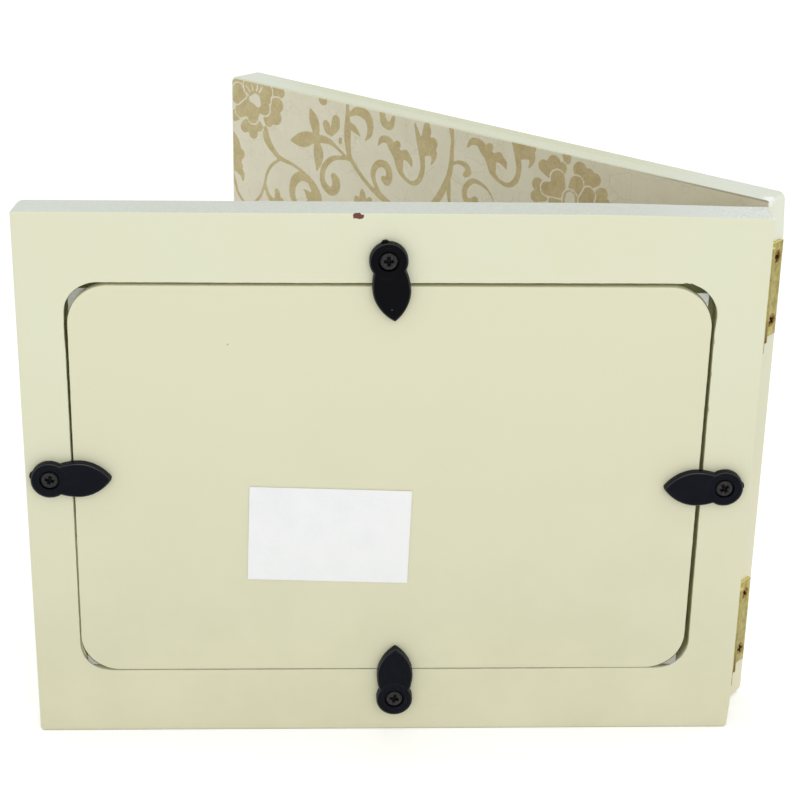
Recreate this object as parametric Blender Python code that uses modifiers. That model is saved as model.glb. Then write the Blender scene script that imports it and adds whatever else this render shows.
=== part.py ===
"""Book-style photo frame of two hinged boards, standing open on its lower edges.

The frame panel holds glass, a photo and a back board in a routed recess, kept in by four turn buttons.
The cover panel carries a printed paper on its inner face and swings on two small butt hinges, which are
screwed to the end faces of both panels.

Units are metres and +Z is up. The origin is the centre of the frame panel's lower edge. The back of the
frame panel faces -Y, its front +Y. Cover pieces are drawn closed, from the hinge axis, and are carried by
an empty on that axis which opens them.
"""

import math

import bmesh
import bpy
from mathutils import Matrix

MM = 0.001
SEAT = 0.15 * MM  # clearance between pieces that lie on each other
PROUD = 2.0 * MM  # how far a cutter reaches past the surface it cuts

# Panels, both cut from the same board
PANEL_WIDTH = 183.0 * MM
PANEL_HEIGHT = 143.6 * MM
PANEL_THICK = 9.0 * MM
PANEL_CORNER = 0.5 * MM
EASED_EDGE = 0.3 * MM  # on the back of the frame and the inner side of the cover
OUTER_ROUNDING = 1.2 * MM  # on the opposite sides
BACK = -PANEL_THICK / 2
FRONT = PANEL_THICK / 2
END = PANEL_WIDTH / 2

# Routed recess in the back of the frame panel, and the sight window in its floor
RECESS_WIDTH = 159.0 * MM
RECESS_HEIGHT = 107.7 * MM
RECESS_CORNER = 7.0 * MM
RECESS_X = -0.45 * MM
RECESS_Z = 72.1 * MM
RECESS_DEPTH = 5.75 * MM
WINDOW_WIDTH = 146.0 * MM
WINDOW_HEIGHT = 94.0 * MM
WINDOW_CORNER = 5.0 * MM
WINDOW_CHAMFER = 1.8 * MM

# What lies in the recess, from the window to the back
GLASS_THICK = 2.0 * MM
INSERT_THICK = 0.4 * MM
INSERT_WIDTH = 155.3 * MM
INSERT_HEIGHT = 101.6 * MM
INSERT_X = -0.56 * MM
INSERT_Z = 71.98 * MM
INSERT_TURN = math.radians(-0.3)
GLASS_Z = 71.5 * MM
BOARD_WIDTH = 157.4 * MM
BOARD_HEIGHT = 106.45 * MM
BOARD_THICK = 2.8 * MM
BOARD_CORNER = 10.0 * MM
BOARD_X = -0.7 * MM
BOARD_Z = 71.72 * MM
BOARD_LEAN = 0.0045  # the board was cut slightly out of square: sideways shift for each unit of height

# Paper label on the back board
LABEL_WIDTH = 41.0 * MM
LABEL_HEIGHT = 26.2 * MM
LABEL_THICK = 0.12 * MM
LABEL_X = -15.5 * MM
LABEL_Z = 57.7 * MM
LABEL_TURN = math.radians(-1.7)

# Turn buttons: a round head and a pointed leaf
BUTTON_HEAD_RADIUS = 4.72 * MM
BUTTON_NECK = 2.65 * MM
BUTTON_WAIST = 3.9 * MM
BUTTON_BELLY = 7.2 * MM
BUTTON_HALF_WIDTH = 4.68 * MM
BUTTON_TIP = 15.6 * MM
BUTTON_TIP_POWER = 2.15
BUTTON_THICK = 2.1 * MM
BUTTON_ROUNDING = 0.65 * MM
BUTTON_BORE = 1.3 * MM
BUTTON_COUNTERBORE = 2.2 * MM
BUTTON_COUNTERBORE_DEPTH = 1.2 * MM
BUTTON_NUB_WIDTH = 1.2 * MM
BUTTON_NUB_LENGTH = 0.7 * MM
BUTTON_NUB_THICK = 0.9 * MM
# place of each screw on the back, and the angle of the tip from +X towards +Z
BUTTONS = {
    "top": (-1.5 * MM, 131.95 * MM, math.radians(-83.5)),
    "left": (-85.3 * MM, 73.95 * MM, math.radians(1.2)),
    "right": (84.55 * MM, 71.6 * MM, math.radians(180.0)),
    "bottom": (1.8 * MM, 10.3 * MM, math.radians(89.9)),
}

# Screws of the turn buttons
BUTTON_SCREW_HEAD = 1.85 * MM
BUTTON_SCREW_HEAD_HEIGHT = 0.95 * MM
BUTTON_SCREW_SHANK = 1.2 * MM
BUTTON_SCREW_LENGTH = 8.0 * MM

# Hinges: two leaves rolled round a pin on the axis where the end faces of the panels meet
HINGE_LENGTH = 25.0 * MM
HINGE_FROM_EDGE = 11.6 * MM
AXIS_OUT = 1.5 * MM  # from the end faces
AXIS_AHEAD = 0.8 * MM  # from the inner faces
LEAF_THICK = 0.8 * MM
LEAF_REACH = 8.2 * MM  # from the axis
KNUCKLE_RADIUS = 1.5 * MM
ROLL_END = math.radians(-115.0)
KNUCKLES = 3
KNUCKLE_PLAY = 0.1 * MM
PIN_RADIUS = 0.64 * MM
PIN_HEAD_RADIUS = 1.0 * MM
PIN_HEAD_LENGTH = 1.2 * MM
HINGE_SCREW_SPACING = 17.0 * MM
HINGE_SCREW_REACH = 5.9 * MM  # from the axis
HINGE_SCREW_HEAD = 1.75 * MM
HINGE_SCREW_SHANK = 0.85 * MM
HINGE_SCREW_LENGTH = 8.0 * MM
SCREW_CLEARANCE = 0.12 * MM
CROSS_SPAN = 1.15  # length of each arm of the cross recess, as a share of the head's radius
CROSS_WIDTH = 0.3
OPEN_ANGLE = math.radians(41.66)

# Printed paper on the cover's inner face
PAPER_THICK = 0.2 * MM
PAPER_WIDTH = 182.2 * MM
PAPER_HEIGHT = 142.9 * MM
PAPER_SKEW = math.radians(0.1)

BUTTON_SCREW_SEAT = BACK - (BUTTON_THICK - BUTTON_COUNTERBORE_DEPTH) - 2 * SEAT  # under the screw's head
AXIS_X = END + AXIS_OUT
AXIS_Y = FRONT + AXIS_AHEAD
HINGE_HEIGHTS = {
    "upper": PANEL_HEIGHT - HINGE_FROM_EDGE - HINGE_LENGTH / 2,
    "lower": HINGE_FROM_EDGE + HINGE_LENGTH / 2,
}
STANDING = Matrix.Rotation(math.radians(90), 4, "X")  # a flat outline stands up, its upper side facing -Y
SIDEWAYS = Matrix.Rotation(math.radians(90), 4, "Y")  # a turned piece lies down, its top facing +X


def clear_scene():
    for old in list(bpy.data.objects):
        bpy.data.objects.remove(old)


def new_collection(name):
    collection = bpy.data.collections.new(name)
    bpy.context.scene.collection.children.link(collection)
    return collection


def make_material(name, colour, roughness, metallic=0.0, alpha=1.0):
    material = bpy.data.materials.new(name)
    material.use_nodes = True
    shader = material.node_tree.nodes["Principled BSDF"]
    shader.inputs["Base Color"].default_value = (*colour, 1.0)
    shader.inputs["Roughness"].default_value = roughness
    shader.inputs["Metallic"].default_value = metallic
    shader.inputs["Alpha"].default_value = alpha
    return material


def evaluated_mesh(source):
    """The mesh of an object with its modifiers applied and its doubled points merged; the object goes."""
    bpy.context.view_layer.update()
    depsgraph = bpy.context.evaluated_depsgraph_get()
    mesh = bpy.data.meshes.new_from_object(source.evaluated_get(depsgraph))
    bpy.data.objects.remove(source)
    shape = bmesh.new()
    shape.from_mesh(mesh)
    bmesh.ops.remove_doubles(shape, verts=shape.verts, dist=1e-6)
    bmesh.ops.recalc_face_normals(shape, faces=shape.faces)
    shape.to_mesh(mesh)
    shape.free()
    return mesh


def add_object(name, data, collection, matrix=None, parent=None):
    obj = bpy.data.objects.new(name, data)
    collection.objects.link(obj)
    obj.parent = parent
    if matrix is not None:
        obj.matrix_local = matrix
    return obj


def add_part(name, mesh, material, matrix=None, parent=None):
    """A named piece of the object, with its own copy of the mesh's look."""
    part = add_object(name, mesh, PARTS, matrix, parent)
    if not mesh.materials:
        mesh.materials.append(material)
    return part


def add_cutter(name, mesh, matrix=None, parent=None):
    cutter = add_object(name, mesh, CUTTERS, matrix, parent)
    cutter.hide_render = True
    cutter.display_type = "WIRE"
    return cutter


def cut(part, cutter):
    boolean = part.modifiers.new("cut " + cutter.name, "BOOLEAN")
    boolean.operation = "DIFFERENCE"
    boolean.object = cutter


def box_mesh(width, depth, height):
    """A box round the origin."""
    bpy.ops.mesh.primitive_cube_add(size=1.0)
    cube = bpy.context.object
    cube.data.transform(Matrix.Diagonal((width, depth, height, 1.0)))
    return evaluated_mesh(cube)


def cylinder_mesh(radius, length, sides=16):
    bpy.ops.mesh.primitive_cylinder_add(vertices=sides, radius=radius, depth=length)
    return evaluated_mesh(bpy.context.object)


def outline_mesh(points, thickness, flare=0.0):
    """A flat closed outline given a thickness along Z, centred; flare adds a 45 degree slope past both
    ends and widens the outline between them by the same amount."""
    curve = bpy.data.curves.new("outline", "CURVE")
    curve.dimensions = "2D"
    curve.fill_mode = "BOTH"
    curve.extrude = thickness / 2
    curve.bevel_depth = flare
    curve.bevel_resolution = 0
    spline = curve.splines.new("POLY")
    spline.points.add(len(points) - 1)
    for point, (x, y) in zip(spline.points, points):
        point.co = (x, y, 0.0, 1.0)
    spline.use_cyclic_u = True
    return evaluated_mesh(add_object("outline", curve, PARTS))


def turned_mesh(profile, steps=16):
    """A profile of (radius, height) points, from the top of the axis down to its bottom, spun about Z."""
    mesh = bpy.data.meshes.new("profile")
    shape = bmesh.new()
    corners = [shape.verts.new((radius, 0.0, height)) for radius, height in profile]
    for start, end in zip(corners, corners[1:]):
        shape.edges.new((start, end))
    shape.to_mesh(mesh)
    shape.free()
    turned = add_object("turned", mesh, PARTS)
    screw = turned.modifiers.new("turn", "SCREW")
    screw.steps = steps
    screw.render_steps = steps
    screw.use_merge_vertices = True
    screw.merge_threshold = 1e-6
    return evaluated_mesh(turned)


def arc(centre_x, centre_y, radius, start, end, steps):
    """Points on an arc, both ends included."""
    angles = [start + (end - start) * step / steps for step in range(steps + 1)]
    return [(centre_x + radius * math.cos(a), centre_y + radius * math.sin(a)) for a in angles]


def rounded_rectangle(width, height, radius, steps=8, lean=0.0):
    """A rectangle with round corners round the origin; lean shifts each point sideways by its height."""
    points = []
    for quarter in range(4):
        start = quarter * math.pi / 2
        side_x = 1 if quarter in (0, 3) else -1
        side_y = 1 if quarter in (0, 1) else -1
        centre_x = side_x * (width / 2 - radius)
        centre_y = side_y * (height / 2 - radius)
        points += arc(centre_x, centre_y, radius, start, start + math.pi / 2, steps)
    return [(x + lean * y, y) for x, y in points]


def stand(x, y, z, turn=0.0):
    """Places a flat outline upright at a point, turned in its own plane."""
    return Matrix.Translation((x, y, z)) @ STANDING @ Matrix.Rotation(turn, 4, "Z")


def lay_sideways(x, y, z):
    return Matrix.Translation((x, y, z)) @ SIDEWAYS


def panel_mesh():
    """One board lying on the XY plane: its upper edges are barely eased, its lower edges are rounded over and its
    corners are nearly square. The Bevel weights give each kind of edge its own rounding."""
    board = add_object("board", box_mesh(PANEL_WIDTH, PANEL_HEIGHT, PANEL_THICK), PARTS)
    shape = bmesh.new()
    shape.from_mesh(board.data)
    weight = shape.edges.layers.float.new("bevel_weight_edge")
    for edge in shape.edges:
        level = sum(point.co.z for point in edge.verts)
        rounding = PANEL_CORNER
        if level > SEAT:
            rounding = EASED_EDGE
        elif level < -SEAT:
            rounding = OUTER_ROUNDING
        edge[weight] = rounding / OUTER_ROUNDING
    shape.to_mesh(board.data)
    shape.free()
    bevel = board.modifiers.new("rounded edges", "BEVEL")
    bevel.width = OUTER_ROUNDING
    bevel.segments = 3
    bevel.limit_method = "WEIGHT"
    return evaluated_mesh(board)


def button_outline():
    """Half of the leaf swells from the neck to its belly, then closes to the tip as a power of its length;
    the other half mirrors it, and the head's arc joins both."""
    swell_steps = 4
    close_steps = 9
    upper = []
    for step in range(swell_steps):
        share = 1 - step / swell_steps
        x = BUTTON_BELLY - (BUTTON_BELLY - BUTTON_NECK) * share
        upper.append((x, BUTTON_HALF_WIDTH - (BUTTON_HALF_WIDTH - BUTTON_WAIST) * share**2))
    for step in range(close_steps):
        share = step / close_steps
        x = BUTTON_BELLY + (BUTTON_TIP - BUTTON_BELLY) * share
        upper.append((x, BUTTON_HALF_WIDTH * (1 - share**BUTTON_TIP_POWER)))
    lower = [(x, -y) for x, y in reversed(upper)]
    neck_angle = math.atan2(BUTTON_WAIST, BUTTON_NECK)
    head = arc(0.0, 0.0, BUTTON_HEAD_RADIUS, 2 * math.pi - neck_angle, neck_angle, 20)
    return upper + [(BUTTON_TIP, 0.0)] + lower + head[1:-1]


def button_mesh():
    """A turn button lying on the XY plane: its rim is rounded above, its bore is stepped for the screw head,
    and the stub of the moulding gate stays at the tail."""
    button = add_object("button", outline_mesh(button_outline(), BUTTON_THICK), PARTS)
    button.data.transform(Matrix.Translation((0.0, 0.0, BUTTON_THICK / 2)))
    nub_size = (2 * BUTTON_NUB_LENGTH, BUTTON_NUB_WIDTH, BUTTON_NUB_THICK)
    nub_place = Matrix.Translation((-BUTTON_HEAD_RADIUS, 0.0, BUTTON_NUB_THICK / 2 + SEAT))
    nub = add_cutter("button_nub", box_mesh(*nub_size), nub_place)
    bore = add_cutter(
        "button_bore",
        turned_mesh(
            [
                (0.0, BUTTON_THICK + PROUD),
                (BUTTON_COUNTERBORE, BUTTON_THICK + PROUD),
                (BUTTON_COUNTERBORE, BUTTON_THICK - BUTTON_COUNTERBORE_DEPTH),
                (BUTTON_BORE, BUTTON_THICK - BUTTON_COUNTERBORE_DEPTH),
                (BUTTON_BORE, -PROUD),
                (0.0, -PROUD),
            ],
            steps=24,
        ),
    )
    # only the upper rim is rounded: the Bevel weights mark its edges
    shape = bmesh.new()
    shape.from_mesh(button.data)
    weight = shape.edges.layers.float.new("bevel_weight_edge")
    for edge in shape.edges:
        on_top = all(point.co.z > BUTTON_THICK - SEAT for point in edge.verts)
        if on_top and edge.calc_face_angle(0.0) > math.radians(40):
            edge[weight] = 1.0
    shape.to_mesh(button.data)
    shape.free()
    bevel = button.modifiers.new("round rim", "BEVEL")
    bevel.width = BUTTON_ROUNDING
    bevel.segments = 2
    bevel.limit_method = "WEIGHT"
    join = button.modifiers.new("gate stub", "BOOLEAN")
    join.operation = "UNION"
    join.object = nub
    cut(button, bore)
    mesh = evaluated_mesh(button)
    bpy.data.objects.remove(nub)
    bpy.data.objects.remove(bore)
    return mesh


def cross_recess(screw, head_radius, top, depth):
    """Cuts the cross for a screwdriver into a screw's head."""
    arm = head_radius * CROSS_SPAN
    across = head_radius * CROSS_WIDTH
    cutters = []
    for name, turn in (("cross_arm_a", 0.0), ("cross_arm_b", math.pi / 2)):
        place = Matrix.Translation((0.0, 0.0, top)) @ Matrix.Rotation(turn, 4, "Z")
        cutters.append(add_cutter(name, box_mesh(arm, across, 2 * depth), place))
        cut(screw, cutters[-1])
    mesh = evaluated_mesh(screw)
    for cutter in cutters:
        bpy.data.objects.remove(cutter)
    return mesh


def button_screw_mesh():
    """A pan-head screw: the underside of the head is at height 0."""
    top = BUTTON_SCREW_HEAD_HEIGHT
    profile = [
        (0.0, top),
        (0.6 * BUTTON_SCREW_HEAD, 0.96 * top),
        (0.9 * BUTTON_SCREW_HEAD, 0.72 * top),
        (BUTTON_SCREW_HEAD, 0.4 * top),
        (BUTTON_SCREW_HEAD, 0.0),
        (BUTTON_SCREW_SHANK, 0.0),
        (BUTTON_SCREW_SHANK, -0.75 * BUTTON_SCREW_LENGTH),
        (0.0, -BUTTON_SCREW_LENGTH),
    ]
    screw = add_object("button_screw", turned_mesh(profile, steps=18), PARTS)
    return cross_recess(screw, BUTTON_SCREW_HEAD, top, 0.55 * top)


def hinge_screw_mesh():
    """A countersunk screw: the top of the head is at height 0."""
    cone = HINGE_SCREW_HEAD - HINGE_SCREW_SHANK
    profile = [
        (0.0, 0.0),
        (HINGE_SCREW_HEAD, 0.0),
        (HINGE_SCREW_SHANK, -cone),
        (HINGE_SCREW_SHANK, -0.75 * HINGE_SCREW_LENGTH),
        (0.0, -HINGE_SCREW_LENGTH),
    ]
    screw = add_object("hinge_screw", turned_mesh(profile, steps=14), PARTS)
    return cross_recess(screw, HINGE_SCREW_HEAD, 0.0, 0.35 * HINGE_SCREW_HEAD)


def countersink_mesh():
    """The hole that a hinge screw leaves in a hinge leaf."""
    cone = HINGE_SCREW_HEAD - HINGE_SCREW_SHANK
    wide = HINGE_SCREW_HEAD + SCREW_CLEARANCE
    narrow = HINGE_SCREW_SHANK + SCREW_CLEARANCE
    profile = [
        (0.0, PROUD),
        (wide, PROUD),
        (wide, 0.0),
        (narrow, -cone),
        (narrow, -PROUD),
        (0.0, -PROUD),
    ]
    return turned_mesh(profile, steps=14)


def leaf_outline(side):
    """Section of a hinge leaf: a flat strip whose end rolls round the pin and stops short of the strip.
    side is -1 for the leaf on the frame panel and 1 for the leaf on the cover."""
    inner = KNUCKLE_RADIUS - LEAF_THICK
    outside = arc(0.0, 0.0, KNUCKLE_RADIUS, math.pi, ROLL_END, 20)
    inside = arc(0.0, 0.0, inner, ROLL_END, math.pi, 20)
    points = [(-KNUCKLE_RADIUS, -LEAF_REACH)] + outside + inside + [(-inner, -LEAF_REACH)]
    return [(x, -side * y) for x, y in points]


def leaf_mesh(side, own_knuckles):
    """A hinge leaf round the axis: the rolled strip, notched where the other leaf's knuckles turn,
    with two countersunk holes."""
    leaf = add_object("leaf", outline_mesh(leaf_outline(side), HINGE_LENGTH), PARTS)
    cutters = []
    pitch = HINGE_LENGTH / KNUCKLES
    notch_side = 2 * (KNUCKLE_RADIUS + SEAT)
    for number in range(KNUCKLES):
        if number in own_knuckles:
            continue
        lowest = -HINGE_LENGTH / 2 + number * pitch - (KNUCKLE_PLAY if number else PROUD)
        highest = -HINGE_LENGTH / 2 + (number + 1) * pitch + (KNUCKLE_PLAY if number < KNUCKLES - 1 else PROUD)
        place = Matrix.Translation((0.0, 0.0, (lowest + highest) / 2))
        cutters.append(add_cutter("notch", box_mesh(notch_side, notch_side, highest - lowest), place))
    for height in (-HINGE_SCREW_SPACING / 2, HINGE_SCREW_SPACING / 2):
        place = lay_sideways(LEAF_THICK - KNUCKLE_RADIUS, side * HINGE_SCREW_REACH, height)
        cutters.append(add_cutter("countersink", countersink_mesh(), place))
    for cutter in cutters:
        cut(leaf, cutter)
    mesh = evaluated_mesh(leaf)
    for cutter in cutters:
        bpy.data.objects.remove(cutter)
    return mesh


def pin_mesh():
    """The hinge pin: a round rod with a domed top and an upset head under the lowest knuckle."""
    top = HINGE_LENGTH / 2
    bottom = -HINGE_LENGTH / 2 - KNUCKLE_PLAY
    profile = [
        (0.0, top),
        (0.7 * PIN_RADIUS, top - 0.1 * PIN_RADIUS),
        (PIN_RADIUS, top - 0.5 * PIN_RADIUS),
        (PIN_RADIUS, bottom),
        (PIN_HEAD_RADIUS, bottom),
        (PIN_HEAD_RADIUS, bottom - 0.7 * PIN_HEAD_LENGTH),
        (0.6 * PIN_HEAD_RADIUS, bottom - PIN_HEAD_LENGTH),
        (0.0, bottom - PIN_HEAD_LENGTH),
    ]
    return turned_mesh(profile, steps=20)


def mortise_and_pilot_holes(panel, side, axis_x, axis_y, parent=None):
    """Cuts the shallow seats of the hinge leaves into a panel's end face, and the holes of their screws."""
    floor = axis_x - KNUCKLE_RADIUS - SEAT
    inner_face = axis_y + side * (AXIS_AHEAD - PROUD)
    far_edge = axis_y + side * (LEAF_REACH + SEAT)
    depth = AXIS_OUT + KNUCKLE_RADIUS
    size = (depth, abs(far_edge - inner_face), HINGE_LENGTH + 2 * SEAT)
    hole = cylinder_mesh(HINGE_SCREW_SHANK + SEAT, 2 * (HINGE_SCREW_LENGTH + SEAT), sides=12)
    for name, height in HINGE_HEIGHTS.items():
        place = Matrix.Translation((floor + depth / 2, (inner_face + far_edge) / 2, height))
        cut(panel, add_cutter(f"{panel.name}_mortise_{name}", box_mesh(*size), place, parent))
        for offset in (-HINGE_SCREW_SPACING / 2, HINGE_SCREW_SPACING / 2):
            spot = lay_sideways(axis_x - KNUCKLE_RADIUS, axis_y + side * HINGE_SCREW_REACH, height + offset)
            cut(panel, add_cutter(f"{panel.name}_hinge_pilot", hole, spot, parent))


def frame_panel():
    panel = add_part("frame_panel", panel_mesh(), CREAM_PAINT, stand(0.0, 0.0, PANEL_HEIGHT / 2))
    recess = outline_mesh(rounded_rectangle(RECESS_WIDTH, RECESS_HEIGHT, RECESS_CORNER), RECESS_DEPTH + PROUD)
    recess_y = BACK + (RECESS_DEPTH - PROUD) / 2
    cut(panel, add_cutter("recess", recess, stand(RECESS_X, recess_y, RECESS_Z)))
    window = rounded_rectangle(WINDOW_WIDTH, WINDOW_HEIGHT, WINDOW_CORNER)
    through = outline_mesh(window, PANEL_THICK + 2 * PROUD)
    cut(panel, add_cutter("window", through, stand(RECESS_X, 0.0, RECESS_Z)))
    chamfer = outline_mesh(window, PROUD, flare=WINDOW_CHAMFER)
    cut(panel, add_cutter("window_chamfer", chamfer, stand(RECESS_X, FRONT + PROUD / 2, RECESS_Z)))
    pilot = cylinder_mesh(BUTTON_SCREW_SHANK + SEAT, 2 * (BUTTON_SCREW_LENGTH + SEAT))
    for x, z, _ in BUTTONS.values():
        cut(panel, add_cutter("button_pilot", pilot, stand(x, BUTTON_SCREW_SEAT, z)))
    mortise_and_pilot_holes(panel, -1, AXIS_X, AXIS_Y)


def recess_contents():
    """Glass, photo and back board, stacked from the recess floor to the back face."""
    glass_y = BACK + RECESS_DEPTH - SEAT - GLASS_THICK / 2
    insert_y = glass_y - GLASS_THICK / 2 - SEAT - INSERT_THICK / 2
    board_y = BACK + BOARD_THICK / 2
    glass = box_mesh(INSERT_WIDTH, GLASS_THICK, INSERT_HEIGHT)
    add_part("glass_pane", glass, CLEAR_GLASS, Matrix.Translation((RECESS_X, glass_y, GLASS_Z)))
    insert = box_mesh(INSERT_WIDTH, INSERT_HEIGHT, INSERT_THICK)
    add_part("photo_insert", insert, WHITE_CARD, stand(INSERT_X, insert_y, INSERT_Z, INSERT_TURN))
    outline = rounded_rectangle(BOARD_WIDTH, BOARD_HEIGHT, BOARD_CORNER, lean=BOARD_LEAN)
    board = outline_mesh(outline, BOARD_THICK)
    add_part("back_board", board, BOARD_PAINT, stand(BOARD_X, board_y, BOARD_Z))
    label_y = BACK - SEAT - LABEL_THICK / 2
    label = box_mesh(LABEL_WIDTH, LABEL_HEIGHT, LABEL_THICK)
    add_part("blank_label", label, LABEL_PAPER, stand(LABEL_X, label_y, LABEL_Z, LABEL_TURN))


def turn_buttons():
    button = button_mesh()
    screw = button_screw_mesh()
    for place, (x, z, tip) in BUTTONS.items():
        add_part("turn_button_" + place, button, BLACK_PLASTIC, stand(x, BACK - SEAT, z, tip))
        add_part("turn_button_screw_" + place, screw, BLACK_STEEL, stand(x, BUTTON_SCREW_SEAT, z, tip))


def cover(pivot):
    """The cover panel and its paper, drawn closed: the cover lies on the far side of the axis from the frame."""
    centre_x = -AXIS_OUT - PANEL_WIDTH / 2
    centre_z = PANEL_HEIGHT / 2
    place = stand(centre_x, AXIS_AHEAD + PANEL_THICK / 2, centre_z)
    panel = add_part("cover_panel", panel_mesh(), CREAM_PAINT, place, pivot)
    mortise_and_pilot_holes(panel, 1, 0.0, 0.0, pivot)
    paper = box_mesh(PAPER_WIDTH, PAPER_HEIGHT, PAPER_THICK)
    paper_place = stand(centre_x, AXIS_AHEAD - SEAT - PAPER_THICK / 2, centre_z, PAPER_SKEW)
    add_part("cover_paper", paper, PRINTED_PAPER, paper_place, pivot)


def hinges(pivot):
    outer_knuckles = (0, KNUCKLES - 1)
    middle_knuckles = range(1, KNUCKLES - 1)
    frame_leaf = leaf_mesh(-1, outer_knuckles)
    cover_leaf = leaf_mesh(1, middle_knuckles)
    pin = pin_mesh()
    screw = hinge_screw_mesh()
    screw_top = LEAF_THICK - KNUCKLE_RADIUS
    for name, height in HINGE_HEIGHTS.items():
        on_axis = Matrix.Translation((AXIS_X, AXIS_Y, height))
        from_pivot = Matrix.Translation((0.0, 0.0, height))
        add_part(f"hinge_{name}_frame_leaf", frame_leaf, BRASS, on_axis)
        add_part(f"hinge_{name}_pin", pin, BRASS, on_axis)
        add_part(f"hinge_{name}_cover_leaf", cover_leaf, BRASS, from_pivot, pivot)
        for end, offset in (("top", HINGE_SCREW_SPACING / 2), ("bottom", -HINGE_SCREW_SPACING / 2)):
            in_frame = lay_sideways(screw_top, -HINGE_SCREW_REACH, offset)
            in_cover = lay_sideways(screw_top, HINGE_SCREW_REACH, offset)
            add_part(f"hinge_{name}_frame_screw_{end}", screw, BRASS_SCREW, on_axis @ in_frame)
            add_part(f"hinge_{name}_cover_screw_{end}", screw, BRASS_SCREW, from_pivot @ in_cover, pivot)


clear_scene()
PARTS = new_collection("hinged_photo_frame")
CUTTERS = new_collection("cutters")
CREAM_PAINT = make_material("cream_paint", (0.74, 0.76, 0.58), 0.45)
BOARD_PAINT = make_material("board_paint", (0.74, 0.75, 0.56), 0.55)
PRINTED_PAPER = make_material("printed_paper", (0.62, 0.57, 0.44), 0.7)
CLEAR_GLASS = make_material("clear_glass", (0.95, 0.97, 0.96), 0.03, alpha=0.2)
WHITE_CARD = make_material("white_card", (0.72, 0.74, 0.74), 0.6)
LABEL_PAPER = make_material("label_paper", (0.85, 0.86, 0.86), 0.55)
BLACK_PLASTIC = make_material("black_plastic", (0.012, 0.013, 0.017), 0.4)
BLACK_STEEL = make_material("black_steel", (0.04, 0.04, 0.042), 0.45, metallic=0.6)
BRASS = make_material("brass", (0.56, 0.46, 0.18), 0.35, metallic=1.0)
BRASS_SCREW = make_material("brass_screw", (0.40, 0.30, 0.12), 0.4, metallic=1.0)

PIVOT = add_object("cover_pivot", None, PARTS, Matrix.Translation((AXIS_X, AXIS_Y, 0.0)))
frame_panel()
recess_contents()
turn_buttons()
cover(PIVOT)
hinges(PIVOT)
PIVOT.rotation_euler = (0.0, 0.0, -OPEN_ANGLE)
bpy.context.view_layer.update()
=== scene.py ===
"""Looks of a book-style photo frame that stands open: softened painted boards, moulded turn buttons, rolled
brass hinges and a printed lining paper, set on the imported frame, with a pale floor, studio light and a
camera.

Lengths are metres. The frame panel's back faces -Y and +Z is up."""

import math

import bmesh
import bpy
import numpy as np
from mathutils import Matrix, Vector


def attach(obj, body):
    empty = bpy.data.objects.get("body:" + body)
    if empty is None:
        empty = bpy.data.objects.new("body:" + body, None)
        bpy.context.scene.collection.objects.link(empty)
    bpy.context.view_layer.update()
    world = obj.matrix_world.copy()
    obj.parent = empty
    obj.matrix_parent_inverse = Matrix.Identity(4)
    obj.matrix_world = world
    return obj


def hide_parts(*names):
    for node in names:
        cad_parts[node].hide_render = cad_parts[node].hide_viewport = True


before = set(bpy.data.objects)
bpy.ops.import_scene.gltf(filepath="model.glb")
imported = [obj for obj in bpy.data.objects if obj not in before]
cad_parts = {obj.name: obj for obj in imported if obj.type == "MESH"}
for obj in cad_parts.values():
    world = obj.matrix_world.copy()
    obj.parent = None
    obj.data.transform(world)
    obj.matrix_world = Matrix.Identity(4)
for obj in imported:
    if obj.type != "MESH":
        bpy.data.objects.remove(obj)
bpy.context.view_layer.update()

MM = 0.001


def mm(*lengths):
    """Lengths that are given in millimetres."""
    return np.array(lengths) * MM


MERGE = 1e-7  # points closer than this become one
SHARP = math.radians(34)  # steeper creases than this stay crisp in shading
SEAT = 0.15 * MM  # play between pieces that lie on each other

PANEL_WIDTH = 183.0 * MM
PANEL_HEIGHT = 143.6 * MM
PANEL_MIDDLE = (0.0, PANEL_HEIGHT / 2)
# Corner radii on a panel's crisp and rounded sides, anticlockwise from the upper corner by the hinges
FRAME_CORNERS = (mm(0.6, 0.6, 1.2, 1.0), mm(0.4, 2.2, 2.2, 1.0))
COVER_CORNERS = (mm(0.4, 2.0, 2.0, 0.4), mm(2.0, 3.0, 3.0, 2.0))
PANEL_EASES = mm(0.3, 0.2)  # of the long edges on those sides
BACK = -4.5 * MM
FRONT = 4.5 * MM
FLAT_RING = 1.4 * MM  # flat margin inside an eased edge, which keeps the shading of the face even

# What is let into the frame panel: width, height, corner
RECESS = mm(159.0, 107.7, 8.3)
WINDOW = mm(146.0, 94.0, 5.0)
BOARD = mm(157.4, 106.45, 10.0)
GLASS = mm(155.3, 100.6, 0.6)
RECESS_MIDDLE = mm(-0.45, 72.1)
RECESS_FLOOR = BACK + 5.75 * MM
WINDOW_CHAMFER = 1.8 * MM
BOARD_CORNERS = BOARD[2] + mm(0.8, 0.0, 0.0, 0.0)
BOARD_MIDDLE = mm(-0.7, 71.72)
BOARD_LEAN = 0.0045  # sideways shift for each unit of height
BOARD_THICK = 2.8 * MM
GLASS_MIDDLE = (RECESS_MIDDLE[0], 71.0 * MM)
GLASS_THICK = 2.0 * MM
SHEET_EASE = 0.2 * MM  # of the edges of the back board and of the pane

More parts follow.
